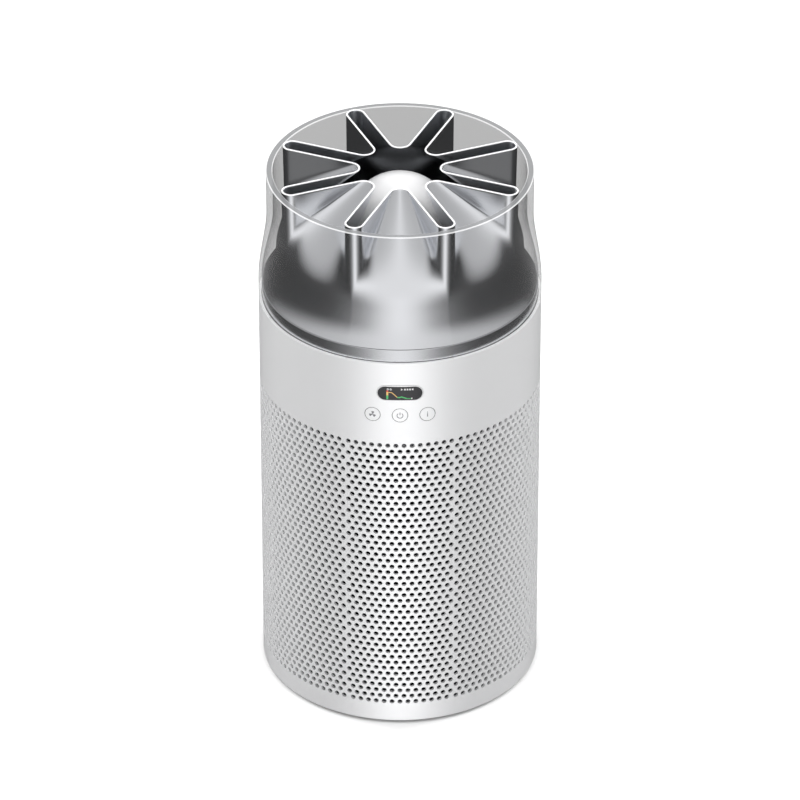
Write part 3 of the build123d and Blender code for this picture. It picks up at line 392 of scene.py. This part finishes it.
def rounded_outline(centre, half_width, half_height, radius, steps):
    points = []
    for sx, sy, start in ((1, -1, -90), (1, 1, 0), (-1, 1, 90), (-1, -1, 180)):
        for k in range(steps + 1):
            turn = radians(start + 90 * k / steps)
            points.append((centre[0] + sx * (half_width - radius) + radius * cos(turn),
                           centre[1] + sy * (half_height - radius) + radius * sin(turn)))
    return points


def inside(point, outline):
    """Whether a point lies in a closed outline."""
    x, y = point
    odd = False
    for (x0, y0), (x1, y1) in zip(outline, outline[1:] + outline[:1]):
        if (y0 > y) != (y1 > y) and x < x0 + (x1 - x0) * (y - y0) / (y1 - y0):
            odd = not odd
    return odd


def casing_radius_at(z):
    """The casing's outer radius and its normal's rise at a height, rounded at both ends."""
    low_centre = CASING_LOW + CASING_EDGE
    high_centre = CASING_HIGH - CASING_TOP_EDGE
    ends = ((CASING_EDGE, low_centre - z, -1), (CASING_TOP_EDGE, z - high_centre, 1))
    for edge, past, way in ends:
        if past > 0:
            rise = min(1.0, past / edge)
            return CASING_RADIUS - edge * (1 - sqrt(1 - rise * rise)), way * rise
    return CASING_RADIUS, 0.0


socket_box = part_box("power_inlet")
display_middle = (bezel_box[0].z + bezel_box[1].z) / 2
socket_middle = (socket_box[0].z + socket_box[1].z) / 2
WINDOW_GAP = 0.15 * MM
OPENING_MARGIN = 0.9 * MM


def casing_openings(sector):
    """Outlines of the larger openings in a sector, as arc length from its middle and height."""
    if sector == 0:
        half_length = asin((bezel_box[1].x + WINDOW_GAP) / CASING_RADIUS) * CASING_RADIUS
        half_height = (bezel_box[1].z - bezel_box[0].z) / 2 + WINDOW_GAP
        outlines = [slot_outline((0, display_middle), half_length, half_height, 16)]
        for body, azimuth in BUTTONS.values():
            middle = (radians(azimuth) * CASING_RADIUS, BUTTON_Z)
            outlines.append(ring_outline(middle, BUTTON_HOLE_RADIUS, 48))
        return outlines
    if sector == SECTORS // 2:
        half_width = socket_box[1].x + WINDOW_GAP
        half_height = (socket_box[1].z - socket_box[0].z) / 2 + WINDOW_GAP
        return [rounded_outline((0, socket_middle), half_width, half_height, 3 * MM, 6)]
    return []


def casing_sector(sector):
    """One eighth of the casing: a skin with its holes, thickened to a closed wall."""
    half = CASING_RADIUS * pi / SECTORS
    points, edges, circles = [], [], []

    def add_loop(loop):
        first = len(points)
        points.extend(loop)
        edges.extend((first + k, first + (k + 1) % len(loop)) for k in range(len(loop)))

    for row in range(HOLE_ROWS):
        count = hole_count(sector, row)
        z = HOLE_TOP_ROW - row * HOLE_ROW_PITCH
        for column in range(count):
            u = (column - (count - 1) / 2) * HOLE_PITCH * CASING_RADIUS
            circles.append((u, z))
            add_loop(ring_outline((u, z), HOLE_RADIUS, HOLE_SIDES))
    openings = casing_openings(sector)
    for outline in openings:
        add_loop(outline)

    # Heights of the plain bands above and below the holes, closer at the rounded edges.
    margin = 0.62 * HOLE_ROW_PITCH
    band_low = HOLE_TOP_ROW + margin
    foot_high = HOLE_TOP_ROW - (HOLE_ROWS - 1) * HOLE_ROW_PITCH - margin
    edge_shares = (0.0, 0.08, 0.3, 0.6, 1.0)
    low_heights = [CASING_LOW + CASING_EDGE * s for s in edge_shares]
    low_heights += list(np.linspace(low_heights[-1], foot_high, 4)[1:])
    high_heights = [CASING_HIGH - CASING_TOP_EDGE * s for s in reversed(edge_shares)]
    band_heights = list(np.linspace(band_low, high_heights[0], 12)) + high_heights[1:]
    row_heights = [HOLE_TOP_ROW - (k + 0.5) * HOLE_ROW_PITCH for k in range(HOLE_ROWS - 1)]
    side_heights = low_heights + row_heights[::-1] + band_heights
    columns = list(np.linspace(-half, half, 29))
    first = len(points)
    border = [(-half, z) for z in side_heights] + [(u, side_heights[-1]) for u in columns[1:-1]]
    border += [(half, z) for z in side_heights[::-1]]
    border += [(u, side_heights[0]) for u in columns[-2:0:-1]]
    add_loop(border)
    for z in low_heights[1:] + band_heights[:-1]:
        for u in columns[1:-1]:
            clear = all(not inside((u, z), outline) for outline in openings)
            near = any(hypot(u - a, z - b) < OPENING_MARGIN for outline in openings
                       for a, b in outline)
            if clear and not near:
                points.append((u, z))

    scale = 1 / MM
    flat = [Vector((u * scale, z * scale)) for u, z in points]
    placed, _, triangles, _, _, _ = delaunay_2d_cdt(flat, edges, [], 0, 1e-6)
    placed = np.array([(p.x, p.y) for p in placed]) / scale
    triangles = np.array(triangles)
    middles = placed[triangles].mean(axis=1)
    row_of = np.rint((HOLE_TOP_ROW - middles[:, 1]) / HOLE_ROW_PITCH)
    solid = np.ones(len(triangles), bool)
    for k, (u, z) in enumerate(middles):
        row = int(row_of[k])
        if 0 <= row < HOLE_ROWS:
            count = hole_count(sector, row)
            step = HOLE_PITCH * CASING_RADIUS
            column = round(u / step + (count - 1) / 2)
            if 0 <= column < count:
                du = u - (column - (count - 1) / 2) * step
                dz = z - (HOLE_TOP_ROW - row * HOLE_ROW_PITCH)
                if hypot(du, dz) < 0.99 * HOLE_RADIUS * cos(pi / HOLE_SIDES):
                    solid[k] = False
        elif any(inside((u, z), outline) for outline in openings):
            solid[k] = False
    triangles = triangles[solid]

    # Wrap the skin round the casing and give it a wall.
    middle = 2 * pi * sector / SECTORS
    turns = middle + placed[:, 0] / CASING_RADIUS
    radii, rises = np.array([casing_radius_at(z) for z in placed[:, 1]]).T
    inner_radius = CASING_RADIUS - CASING_WALL
    outward = np.stack([np.sin(turns), -np.cos(turns), np.zeros(len(turns))], axis=1)
    heights = np.stack([0 * turns, 0 * turns, placed[:, 1]], axis=1)
    outer = outward * radii[:, None] + heights
    inner = outward * inner_radius + heights
    level = np.sqrt(np.clip(1 - rises**2, 0, 1))
    outer_normals = outward * level[:, None]
    outer_normals[:, 2] = rises
    count = len(placed)
    a, b, c = outer[triangles[:, 0]], outer[triangles[:, 1]], outer[triangles[:, 2]]
    facing = np.einsum("ij,ij->i", np.cross(b - a, c - a), outward[triangles[:, 0]])
    triangles[facing < 0] = triangles[facing < 0][:, ::-1]
    directed = {(t[i], t[(i + 1) % 3]) for t in triangles.tolist() for i in range(3)}
    walls = [(q, p, p + count, q + count) for p, q in directed if (q, p) not in directed]
    walls.sort()
    vertices = np.concatenate([outer, inner])
    faces = triangles.tolist() + (triangles[:, ::-1] + count).tolist() + walls
    piece = new_piece(f"casing_sector_{sector + 1}", vertices, faces, casing_silver)
    piece.data.materials.append(casing_inside)
    skin = len(triangles)
    kinds = [0] * skin + [1] * skin + [0] * len(walls)
    piece.data.polygons.foreach_set("material_index", kinds)

    # Exact normals: radial on both skins, towards the hole's middle in the holes.
    wall_array = np.array(walls)
    p0, p1, p2 = (vertices[wall_array[:, i]] for i in range(3))
    wall_normals = np.cross(p1 - p0, p2 - p1)
    wall_normals /= np.linalg.norm(wall_normals, axis=1)[:, None]
    summed = np.zeros((2 * count, 3))
    for i in range(4):
        np.add.at(summed, wall_array[:, i], wall_normals)
    length = np.linalg.norm(summed, axis=1)
    length[length == 0] = 1
    summed /= length[:, None]
    skin_normals = np.concatenate([outer_normals, -outward])
    loop_normals = np.concatenate([
        skin_normals[triangles.ravel()],
        skin_normals[(triangles[:, ::-1] + count).ravel()],
        summed[wall_array.ravel()],
    ])
    piece.data.normals_split_custom_set(loop_normals.tolist())
    return place(piece, "housing", "casing_silver", "outer_casing")


for sector in range(SECTORS):
    casing_sector(sector)


# ---- Star nozzle --------------------------------------------------------------------------
def half_period(spine, tip_radius, lobe_radius, count, samples=60):
    """A star section from a lobe's tip to the next valley's middle, as points and normals.
    The lobe lies along +X of this drawing, the valley at half a period from it."""
    alpha = pi / count
    tip = np.array([lobe_radius - tip_radius, 0.0])
    valley = np.array([cos(alpha), sin(alpha)])
    across = np.array([-sin(alpha), cos(alpha)])
    vertex = tip_radius / sin(alpha)
    spread = 1 / sin(alpha) - 1
    nose = (spine - vertex) / spread
    tangent_reach = vertex * cos(alpha) + nose / tan(alpha)
    if tangent_reach <= tip[0]:
        bend = 1 / nose
        turn_end = pi / 2
        wall_end = np.array([tangent_reach, tip_radius])
    else:
        reach = tip[0]
        below = reach**2 + spine**2 - 2 * reach * cos(alpha) * spine - tip_radius**2
        bend = 2 * (reach * cos(alpha) + tip_radius - spine) / below
        direction = (1 + bend * spine) * valley - bend * tip
        direction /= np.linalg.norm(direction)
        turn_end = atan2(direction[1], direction[0])
        wall_end = None
    points, normals = [], []
    for i in range(samples + 1):
        turn = turn_end * i / samples
        normals.append((cos(turn), sin(turn)))
        points.append(tip + tip_radius * np.array(normals[-1]))
    if wall_end is not None:
        start = points[-1]
        for i in range(1, samples + 1):
            points.append(start + (wall_end - start) * i / samples)
            normals.append((0.0, 1.0))
    end_point = points[-1]
    nose_point = spine * valley
    if abs(bend) > 1e-3:
        length = (turn_end - alpha) / bend
    else:
        length = float(np.linalg.norm(end_point - nose_point))
    for i in range(1, samples + 1):
        s = length * (1 - i / samples)
        x = bend * s
        if abs(x) > 1e-5:
            along, out = sin(x) / bend, (1 - cos(x)) / bend
        else:
            along, out = s, 0.5 * bend * s * s
        points.append(nose_point - along * across + out * valley)
        normals.append((cos(alpha + x), sin(alpha + x)))
    return np.array(points), np.array(normals)


def even_out(points, normals, count):
    """Resamples a line so that its points crowd where it turns."""
    steps = np.linalg.norm(np.diff(points, axis=0), axis=1)
    turns = np.arccos(np.clip(np.einsum("ij,ij->i", normals[:-1], normals[1:]), -1, 1))
    along = np.concatenate([[0], np.cumsum(steps + 9 * MM * turns)])
    wanted = np.linspace(0, along[-1], count + 1)
    out = np.stack([np.interp(wanted, along, points[:, k]) for k in range(2)], axis=1)
    facing = np.stack([np.interp(wanted, along, normals[:, k]) for k in range(2)], axis=1)
    return out, facing / np.linalg.norm(facing, axis=1)[:, None]


VALLEY_CURVE = 0.75


def spine_at(share):
    """Distance of a valley's spine from the axis: it steepens on its way down, and is rounded
    into the collar."""
    top = LOBE_HALF_WIDTH / sin(pi / LOBES) + VALLEY_NOSE * (1 / sin(pi / LOBES) - 1)
    rise = (1 - VALLEY_CURVE) * share + VALLEY_CURVE * sin(pi / 2 * share)
    over = top + rise * (COLLAR_RADIUS - top) / 0.985 - COLLAR_RADIUS
    soft = 1.6 * MM
    return COLLAR_RADIUS + 0.5 * (over - sqrt(over * over + soft * soft))


HALF_STEPS = 40


def all_round(points, count):
    """Repeats a half period, mirrored and turned, into a closed ring of count lobes."""
    loop = []
    for lobe in range(count):
        turn = 2 * pi * (lobe + 0.5) / count - pi / 2
        along = np.array([cos(turn), sin(turn)])
        side = np.array([-sin(turn), cos(turn)])
        for x, y in points[::-1][:-1]:
            loop.append(along * x - side * y)
        for x, y in points[:-1]:
            loop.append(along * x + side * y)
    return loop


def star_loop(share, inset):
    """All the points of the nozzle's section at a share of the way down to its collar."""
    lobe_radius = LOBE_RADIUS + share * (COLLAR_RADIUS - LOBE_RADIUS)
    points, normals = half_period(spine_at(share), LOBE_HALF_WIDTH, lobe_radius, LOBES)
    points, normals = even_out(points, normals, HALF_STEPS)
    return all_round(points - normals * inset, LOBES)


def star_nozzle():
    """The eight-lobed outlet: star sections down to a round collar, then a bell."""
    star_levels = 34
    bell_levels = 16
    bell_height = COLLAR_Z - NOZZLE_LOW
    flare = BELL_FOOT_RADIUS - COLLAR_RADIUS
    bend_radius = (bell_height**2 + flare**2) / (2 * flare)
    lip = NOZZLE_WALL / 2
    lip_steps = 5
    rows = []
    for i in range(bell_levels, 0, -1):
        drop = bell_height * i / bell_levels
        radius = COLLAR_RADIUS + bend_radius - sqrt(bend_radius**2 - drop**2)
        rows.append((1.0, COLLAR_Z - drop, 0.0, radius / COLLAR_RADIUS))
    for i in range(star_levels, -1, -1):
        share = (i / star_levels) ** 1.15
        z = NOZZLE_TOP - lip - share * (NOZZLE_TOP - lip - COLLAR_Z)
        rows.append((share, z, 0.0, 1.0))
    outer_rows = list(rows)
    lip_rows = []
    for i in range(1, lip_steps):
        turn = pi * i / lip_steps
        lip_rows.append((0.0, NOZZLE_TOP - lip + lip * sin(turn), lip - lip * cos(turn), 1.0))
    inner_rows = [(share, z, NOZZLE_WALL, grow) for share, z, _, grow in reversed(outer_rows)]
    all_rows = outer_rows + lip_rows + inner_rows
    vertices, cache = [], {}
    for share, z, inset, grow in all_rows:
        key = (round(share, 6), round(inset, 7))
        if key not in cache:
            cache[key] = star_loop(share, inset)
        for x, y in cache[key]:
            vertices.append((x * grow, y * grow, z))
    around = 2 * LOBES * HALF_STEPS
    faces = []
    for i in range(len(all_rows)):
        j = (i + 1) % len(all_rows)
        for k in range(around):
            n = (k + 1) % around
            faces.append((i * around + k, i * around + n, j * around + n, j * around + k))
    piece = new_piece("outlet_nozzle", vertices, faces, nozzle_silver, sharp=50)
    mesh = piece.data
    mesh.materials.append(nozzle_lip_highlight)
    mesh.materials.append(nozzle_inside)
    # The rounded lip takes the painted highlight material.
    edge_first = len(outer_rows) - 1
    edge_last = edge_first + lip_steps
    indices = []
    for i in range(len(all_rows)):
        kind = 0 if i < edge_first else 1 if i < edge_last else 2
        indices.extend([kind] * around)
    mesh.polygons.foreach_set("material_index", indices)
    return place(piece, "housing", "nozzle_silver", "star_nozzle")


star_nozzle()


# ---- Clear shell, band and nose cone ------------------------------------------------------
def clear_shell():
    edge = 0.9 * MM
    rim_outer = (SHELL_RIM_RADIUS - edge, RIM_Z - edge)
    rim_inner = (SHELL_RIM_BORE + edge, RIM_Z - edge)
    profile = [(SHELL_FOOT_BORE, SHELL_LOW), (CASING_RADIUS, SHELL_LOW)]
    profile += flare_points((CASING_RADIUS, FLARE_LOW), (SHELL_RIM_RADIUS, FLARE_HIGH), 28)
    profile += arc_points(rim_outer, edge, 0, 90, 6)
    profile += arc_points(rim_inner, edge, 90, 180, 6)
    profile += flare_points((SHELL_FOOT_BORE, FLARE_LOW), (SHELL_RIM_BORE, FLARE_HIGH), 28)[::-1]
    piece = lathe("outlet_shell", profile, slot_materials["clear_acrylic"], segments=256, sharp=60)
    piece.data.materials.append(rim_painted_reflection)
    piece.data.materials.append(rim_edge_highlight)
    piece.data.materials.append(shell_inside_painted_reflection)
    # The rim's flat top takes the painted grey reflection, its rounded edges the painted highlight,
    # and the inner faces the painted dark reflection.
    for face in piece.data.polygons:
        outward = face.normal.x * face.center.x + face.normal.y * face.center.y
        if face.center.z > RIM_Z - edge:
            face.material_index = 1 if face.normal.z > 0.99 else 2
        elif outward < 0:
            face.material_index = 3
    # The shell stays out of the nozzle's reflections and casts no shade on it.
    piece.visible_glossy = False
    piece.visible_shadow = False
    return place(piece, "housing", "clear_acrylic", "clear_shell")


clear_shell()


BAND_BORE = 88.3 * MM
BAND_SLOPE_START = 3.7 * MM
BAND_BORE_HEIGHT = 2 * MM


def shoulder_band():
    low, high = band_box[0].z, band_box[1].z
    radius = band_box[1].x
    edge = 0.5 * MM
    profile = [(BAND_BORE, low), (radius, low), (radius, high - edge)]
    profile += arc_points((radius - edge, high - edge), edge, 0, 90, 4)
    profile += [(radius - BAND_SLOPE_START, high), (BAND_BORE, low + BAND_BORE_HEIGHT)]
    piece = lathe("shoulder_band", profile, band_silver, segments=256, sharp=40)
    return place(piece, "housing", "band_silver", "shoulder_ring")


shoulder_band()


def nose_dome():
    foot = cone_box[0].z
    profile = flare_points((DOME_FOOT_RADIUS, foot), (DOME_RADIUS, DOME_CENTRE), 16)
    profile += arc_points((0, DOME_CENTRE), DOME_RADIUS, 4, 90, 24)
    profile += arc_points((0, DOME_CENTRE), DOME_RADIUS - DOME_WALL, 90, 4, 24)
    profile += flare_points((DOME_FOOT_RADIUS - DOME_WALL, foot),
                            (DOME_RADIUS - DOME_WALL, DOME_CENTRE), 16)[::-1]
    piece = lathe("nose_dome", profile, dome_silver, segments=192, sharp=50)
    return place(piece, "housing", "dome_silver", "nose_cone")


nose_dome()


# ---- Filter pleats ------------------------------------------------------------------------
PLEATS = 72
PLEAT_TIP = 1.4 * MM
PLEAT_DEPTH = 33 * MM
PAPER = 0.7 * MM
PLEAT_STEPS = 10


def filter_pleats():
    """Folded filter paper between its two caps."""
    outer, low, high = media_box[1].x, media_box[0].z, media_box[1].z
    inner = outer - PLEAT_DEPTH
    points, normals = half_period(inner, PLEAT_TIP, outer, PLEATS)
    points, normals = even_out(points, normals, PLEAT_STEPS)
    skins = (all_round(points, PLEATS), all_round(points - normals * PAPER, PLEATS))
    around = len(skins[0])
    levels = [low, (low + high) / 2, high]
    rows = [(skins[0], z) for z in levels] + [(skins[1], z) for z in reversed(levels)]
    vertices = [(x, y, z) for loop, z in rows for x, y in loop]
    faces = []
    for i in range(len(rows)):
        j = (i + 1) % len(rows)
        for k in range(around):
            n = (k + 1) % around
            faces.append((i * around + k, i * around + n, j * around + n, j * around + k))
    piece = new_piece("pleated_media", vertices, faces, slot_materials["filter_paper"], sharp=40)
    return place(piece, "filter_unit", "filter_paper", "filter_media")


filter_pleats()


# ---- Display marks and button icons -------------------------------------------------------
def decal(name, outlines, azimuth, height, base, thickness, material, body, slot):
    """A thin raised mark wrapped round the casing. Outlines are closed, in the mark's own
    millimetres, across and up, and one inside another is a hole."""
    points, edges = [], []
    for outline in outlines:
        first = len(points)
        points.extend(Vector(p) for p in outline)
        edges.extend((first + k, first + (k + 1) % len(outline)) for k in range(len(outline)))
    placed, _, triangles, _, _, _ = delaunay_2d_cdt(points, edges, [], 0, 1e-6)
    kept = []
    for triangle in triangles:
        middle = sum((placed[i] for i in triangle), Vector((0, 0))) / 3
        if sum(inside(middle, outline) for outline in outlines) % 2:
            a, b, c = (placed[i] for i in triangle)
            flipped = (b - a).cross(c - a) < 0
            kept.append(tuple(reversed(triangle)) if flipped else tuple(triangle))
    count = len(placed)
    vertices = []
    for radius in (base + thickness, base):
        for p in placed:
            turn = radians(azimuth) + p.x * MM / base
            vertices.append((radius * sin(turn), -radius * cos(turn), height + p.y * MM))
    directed = {(t[i], t[(i + 1) % 3]) for t in kept for i in range(3)}
    walls = sorted((q, p, p + count, q + count) for p, q in directed if (q, p) not in directed)
    faces = kept + [tuple(i + count for i in reversed(t)) for t in kept] + walls
    piece = new_piece(name, vertices, faces, material, sharp=30)
    return place(piece, body, slot)


def stroke(path, width):
    """The outline of a line of even width along a path, with flat ends."""
    path = [Vector(p) for p in path]
    sides = []
    for i, p in enumerate(path):
        before = (p - path[i - 1]).normalized() if i else (path[1] - p).normalized()
        after = (path[i + 1] - p).normalized() if i + 1 < len(path) else before
        along = (before + after).normalized()
        across = Vector((-along.y, along.x)) * (width / 2 / max(0.5, along.dot(after)))
        sides.append((p + across, p - across))
    return [a for a, b in sides] + [b for a, b in reversed(sides)]


def bar(x, y, width, height):
    """An upright rectangle about a middle point."""
    return [(x - width / 2, y - height / 2), (x + width / 2, y - height / 2),
            (x + width / 2, y + height / 2), (x - width / 2, y + height / 2)]


icon_grey = surface("icon_grey", (0.16, 0.16, 0.17), 0.0, 0.5, grain=3000, variation=0.05,
                    bump=0.02)
gap_painted_shade = surface("gap_painted_shade", (0.02, 0.02, 0.022), 0.0, 0.7, grain=2500, variation=0.1,
                    bump=0.1)
ICON_PROUD = 0.05 * MM


def button_icons():
    """A ring-and-bar, a three-blade fan and an i, printed on the three buttons, and a black ring
    set in the gap round each button as painted shade."""
    ring = stroke(arc_points((0, -0.2), 2.35, 90 + 38, 90 + 322, 40), 0.62)
    power = [ring, bar(0, 1.55, 0.62, 2.5)]
    blades = []
    for k in range(3):
        lean = 90 + 120 * k
        inner = [(0.35 * cos(radians(lean + 30)), 0.35 * sin(radians(lean + 30)))]
        rim = arc_points((0, 0), 2.75, lean + 22, lean - 34, 10)
        end = radians(lean - 90)
        blades.append(inner + rim + [(0.35 * cos(end), 0.35 * sin(end))])
    letter = [bar(0, -0.75, 0.72, 3.0), bar(0, 1.85, 0.72, 0.8)]
    for name, shapes in (("power_button", power), ("fan_button", blades), ("info_button", letter)):
        body, azimuth = BUTTONS[name]
        for index, shape in enumerate(shapes):
            decal(f"{name}_icon_{index + 1}", [shape], azimuth, BUTTON_Z, CASING_RADIUS,
                  ICON_PROUD, icon_grey, body, "component_black")
        # Painted shade: a black ring sunk in the gap between each button and its hole.
        gap_outer = BUTTON_HOLE_RADIUS / MM - 0.02
        gap_inner = BUTTON_RADIUS / MM + 0.02
        rings = [ring_outline((0, 0), gap_outer, 64), ring_outline((0, 0), gap_inner, 64)]
        decal(f"{name}_gap", rings, azimuth, BUTTON_Z, CASING_RADIUS - 0.6 * MM, 0.35 * MM,
              gap_painted_shade, "housing", "component_black")


button_icons()


def display_marks():
    """A lit level bar, a falling trend line with an end dot, and small plain marks."""
    red = glow_material("glow_red", (0.75, 0.05, 0.04), 0.9)
    amber = glow_material("glow_amber", (0.95, 0.60, 0.22), 0.9)
    green = glow_material("glow_green", (0.10, 0.55, 0.18), 0.9)
    white = glow_material("glow_white", (0.80, 0.80, 0.80), 0.9)
    bar_x = -10.1
    falling = [(-9.2, 0.75), (-6.6, 0.65), (-4.4, -1.4), (-2.2, -3.7)]
    level = [(-2.2, -3.7), (-0.6, -3.9), (1.2, -3.3), (3.2, -4.0), (5.2, -4.75)]
    marks = [
        ("level_red", [bar(bar_x, 1.9, 1.5, 1.3)], red),
        ("level_amber", [bar(bar_x, -0.4, 1.5, 3.2)], amber),
        ("level_green", [bar(bar_x, -3.85, 1.5, 3.5)], green),
        ("trend_amber", [stroke(falling, 0.62)], amber),
        ("trend_green", [stroke(level, 1.0)], green),
        ("trend_end", [stroke([(5.2, -4.75), (7.2, -4.8), (9.0, -4.75)], 0.55)], green),
        ("trend_dot", [ring_outline((9.35, -4.75), 0.62, 20)], white),
        ("mark_arrow", [[(0.75, 2.6), (2.3, 3.6), (0.75, 4.6)]], white),
    ]
    for index in range(2):
        marks.append((f"mark_left_{index + 1}", [ring_outline((-9.7 + 2.3 * index, 3.6), 0.85, 20),
                                                 ring_outline((-9.7 + 2.3 * index, 3.6), 0.4, 16)],
                      white))
    for index in range(4):
        marks.append((f"mark_right_{index + 1}", [bar(3.9 + 2.05 * index, 3.6, 1.35, 1.5)], white))
    for name, outlines, material in marks:
        decal(name, outlines, 0, display_middle, CASING_RADIUS, ICON_PROUD, material, "housing",
              "display_black")


display_marks()


# ---- Stage, light and camera --------------------------------------------------------------
def shade_behind_glass(nodes, links, clear_level):
    """Painted shade behind glass: 1 where the camera looks straight at the studio, clear_level
    where it looks through glass.
    """
    path = nodes.new("ShaderNodeLightPath")
    through = nodes.new("ShaderNodeMath")
    through.operation = "GREATER_THAN"
    through.inputs[1].default_value = 0.5
    links.new(path.outputs["Transparent Depth"], through.inputs[0])
    level = nodes.new("ShaderNodeMapRange")
    level.inputs["To Min"].default_value = 1.0
    level.inputs["To Max"].default_value = clear_level
    links.new(through.outputs["Value"], level.inputs["Value"])
    return level.outputs["Result"]


# Painted shade: the floor and the backdrop seen through the clear shell are dimmed to this share.
BEHIND_GLASS = 0.36


def studio_floor():
    size = 12.0
    vertices = [(-size, -size, 0), (size, -size, 0), (size, size, 0), (-size, size, 0)]
    material = surface("floor_white", (0.80, 0.80, 0.80), 0.0, 0.9, grain=3, variation=0.004,
                       bump=0.0, specular=0.1)
    nodes, links = material.node_tree.nodes, material.node_tree.links
    shader = nodes["Principled BSDF"]
    source = shader.inputs["Base Color"].links[0].from_socket
    scale = nodes.new("ShaderNodeVectorMath")
    scale.operation = "SCALE"
    links.new(source, scale.inputs[0])
    # The floor is dimmed by painted shade where it is seen through the shell.
    links.new(shade_behind_glass(nodes, links, BEHIND_GLASS), scale.inputs["Scale"])
    links.new(scale.outputs["Vector"], shader.inputs["Base Color"])
    floor = new_piece("studio_floor", vertices, [(0, 1, 2, 3)], material)
    floor.visible_glossy = False


studio_floor()

# What metal sees, by the angle from the front: below the horizon, where upright walls look from
# above, and above it.
LOW_BANDS = ((0.0, 1.0), (0.08, 0.82), (0.15, 0.40), (0.25, 0.15), (0.38, 0.04), (1.0, 0.03))
HIGH_BANDS = ((0.0, 0.95), (0.22, 0.62), (0.50, 0.50), (0.85, 0.48), (1.0, 0.48))
ROOM_LIGHT = 0.88


def studio_world():
    """A pale room, with dark sides below the horizon, so that metal shows its form."""
    world = bpy.data.worlds.new("studio")
    bpy.context.scene.world = world
    world.use_nodes = True
    nodes, links = world.node_tree.nodes, world.node_tree.links
    background = nodes["Background"]

    def math(operation, first, second=None):
        node = nodes.new("ShaderNodeMath")
        node.operation = operation
        for socket, value in zip(node.inputs, (first, second)):
            if isinstance(value, (int, float)):
                socket.default_value = value
            elif value is not None:
                links.new(value, socket)
        return node.outputs["Value"]

    def bands(stops, share):
        ramp = nodes.new("ShaderNodeValToRGB")
        ramp.color_ramp.interpolation = "B_SPLINE"
        elements = ramp.color_ramp.elements
        for index, (at, level) in enumerate(stops):
            element = elements[index] if index < 2 else elements.new(at)
            element.position = at
            element.color = (level, level, level * 1.01, 1)
        links.new(share, ramp.inputs["Fac"])
        return ramp.outputs["Color"]

    def blend(factor, first, second):
        mix = nodes.new("ShaderNodeMix")
        mix.data_type = "RGBA"
        links.new(factor, mix.inputs["Factor"])
        for socket, value in ((mix.inputs["A"], first), (mix.inputs["B"], second)):
            if isinstance(value, (int, float)):
                socket.default_value = (value, value, value, 1)
            else:
                links.new(value, socket)
        return mix.outputs["Result"]

    where = nodes.new("ShaderNodeTexCoord")
    split = nodes.new("ShaderNodeSeparateXYZ")
    links.new(where.outputs["Generated"], split.inputs["Vector"])
    turn = math("ARCTAN2", split.outputs["X"], math("MULTIPLY", split.outputs["Y"], -1.0))
    share = math("DIVIDE", math("ABSOLUTE", turn), pi)
    up = nodes.new("ShaderNodeMapRange")
    up.interpolation_type = "SMOOTHSTEP"
    up.inputs["From Min"].default_value = -0.02
    up.inputs["From Max"].default_value = 0.50
    links.new(split.outputs["Z"], up.inputs["Value"])
    reflected = blend(up.outputs["Result"], bands(LOW_BANDS, share), bands(HIGH_BANDS, share))
    path = nodes.new("ShaderNodeLightPath")
    seen = blend(path.outputs["Is Glossy Ray"], ROOM_LIGHT, reflected)
    # The backdrop is dimmed by painted shade where it is seen through the shell.
    backdrop = nodes.new("ShaderNodeVectorMath")
    backdrop.operation = "SCALE"
    backdrop.inputs[0].default_value = (1.0, 1.0, 1.0)
    links.new(shade_behind_glass(nodes, links, BEHIND_GLASS), backdrop.inputs["Scale"])
    final = blend(path.outputs["Is Camera Ray"], seen, backdrop.outputs["Vector"])
    links.new(final, background.inputs["Color"])
    background.inputs["Strength"].default_value = 1.0


studio_world()


def soft_light(name, location, target, size, power, glossy=False):
    light = bpy.data.lights.new(name, "AREA")
    light.shape = "RECTANGLE"
    light.size, light.size_y = size
    light.energy = power
    lamp = bpy.data.objects.new(name, light)
    lamp.location = location
    lamp.rotation_euler = (Vector(target) - Vector(location)).to_track_quat("-Z", "Y").to_euler()
    lamp.visible_glossy = glossy
    lamp.visible_camera = False
    bpy.context.scene.collection.objects.link(lamp)


soft_light("top_light", (0.0, -0.4, 3.2), (0, 0, 0), (3.5, 3.5), 52)
soft_light("left_light", (-2.6, 1.2, 1.0), (0, 0, 0.2), (0.8, 2.0), 55)
soft_light("right_light", (2.6, 1.2, 1.0), (0, 0, 0.2), (0.8, 2.0), 55)
soft_light("front_light", (0.0, -3.2, 1.6), (0, 0, 0.2), (1.0, 2.0), 36)

# A long lens, looking down at the front. The tilt is from straight down.
CAMERA_LENS = 278.16
CAMERA_SENSOR = 36.0
CAMERA_PLACE = (0.0, -4.2598, 2.9394)
CAMERA_TILT = 57.657
camera = bpy.data.cameras.new("camera")
camera.lens = CAMERA_LENS
camera.sensor_width = CAMERA_SENSOR
camera_object = bpy.data.objects.new("camera", camera)
camera_object.location = CAMERA_PLACE
camera_object.rotation_euler = (radians(CAMERA_TILT), 0, 0)
bpy.context.scene.collection.objects.link(camera_object)
bpy.context.scene.camera = camera_object
bpy.context.scene.view_settings.view_transform = "Standard"
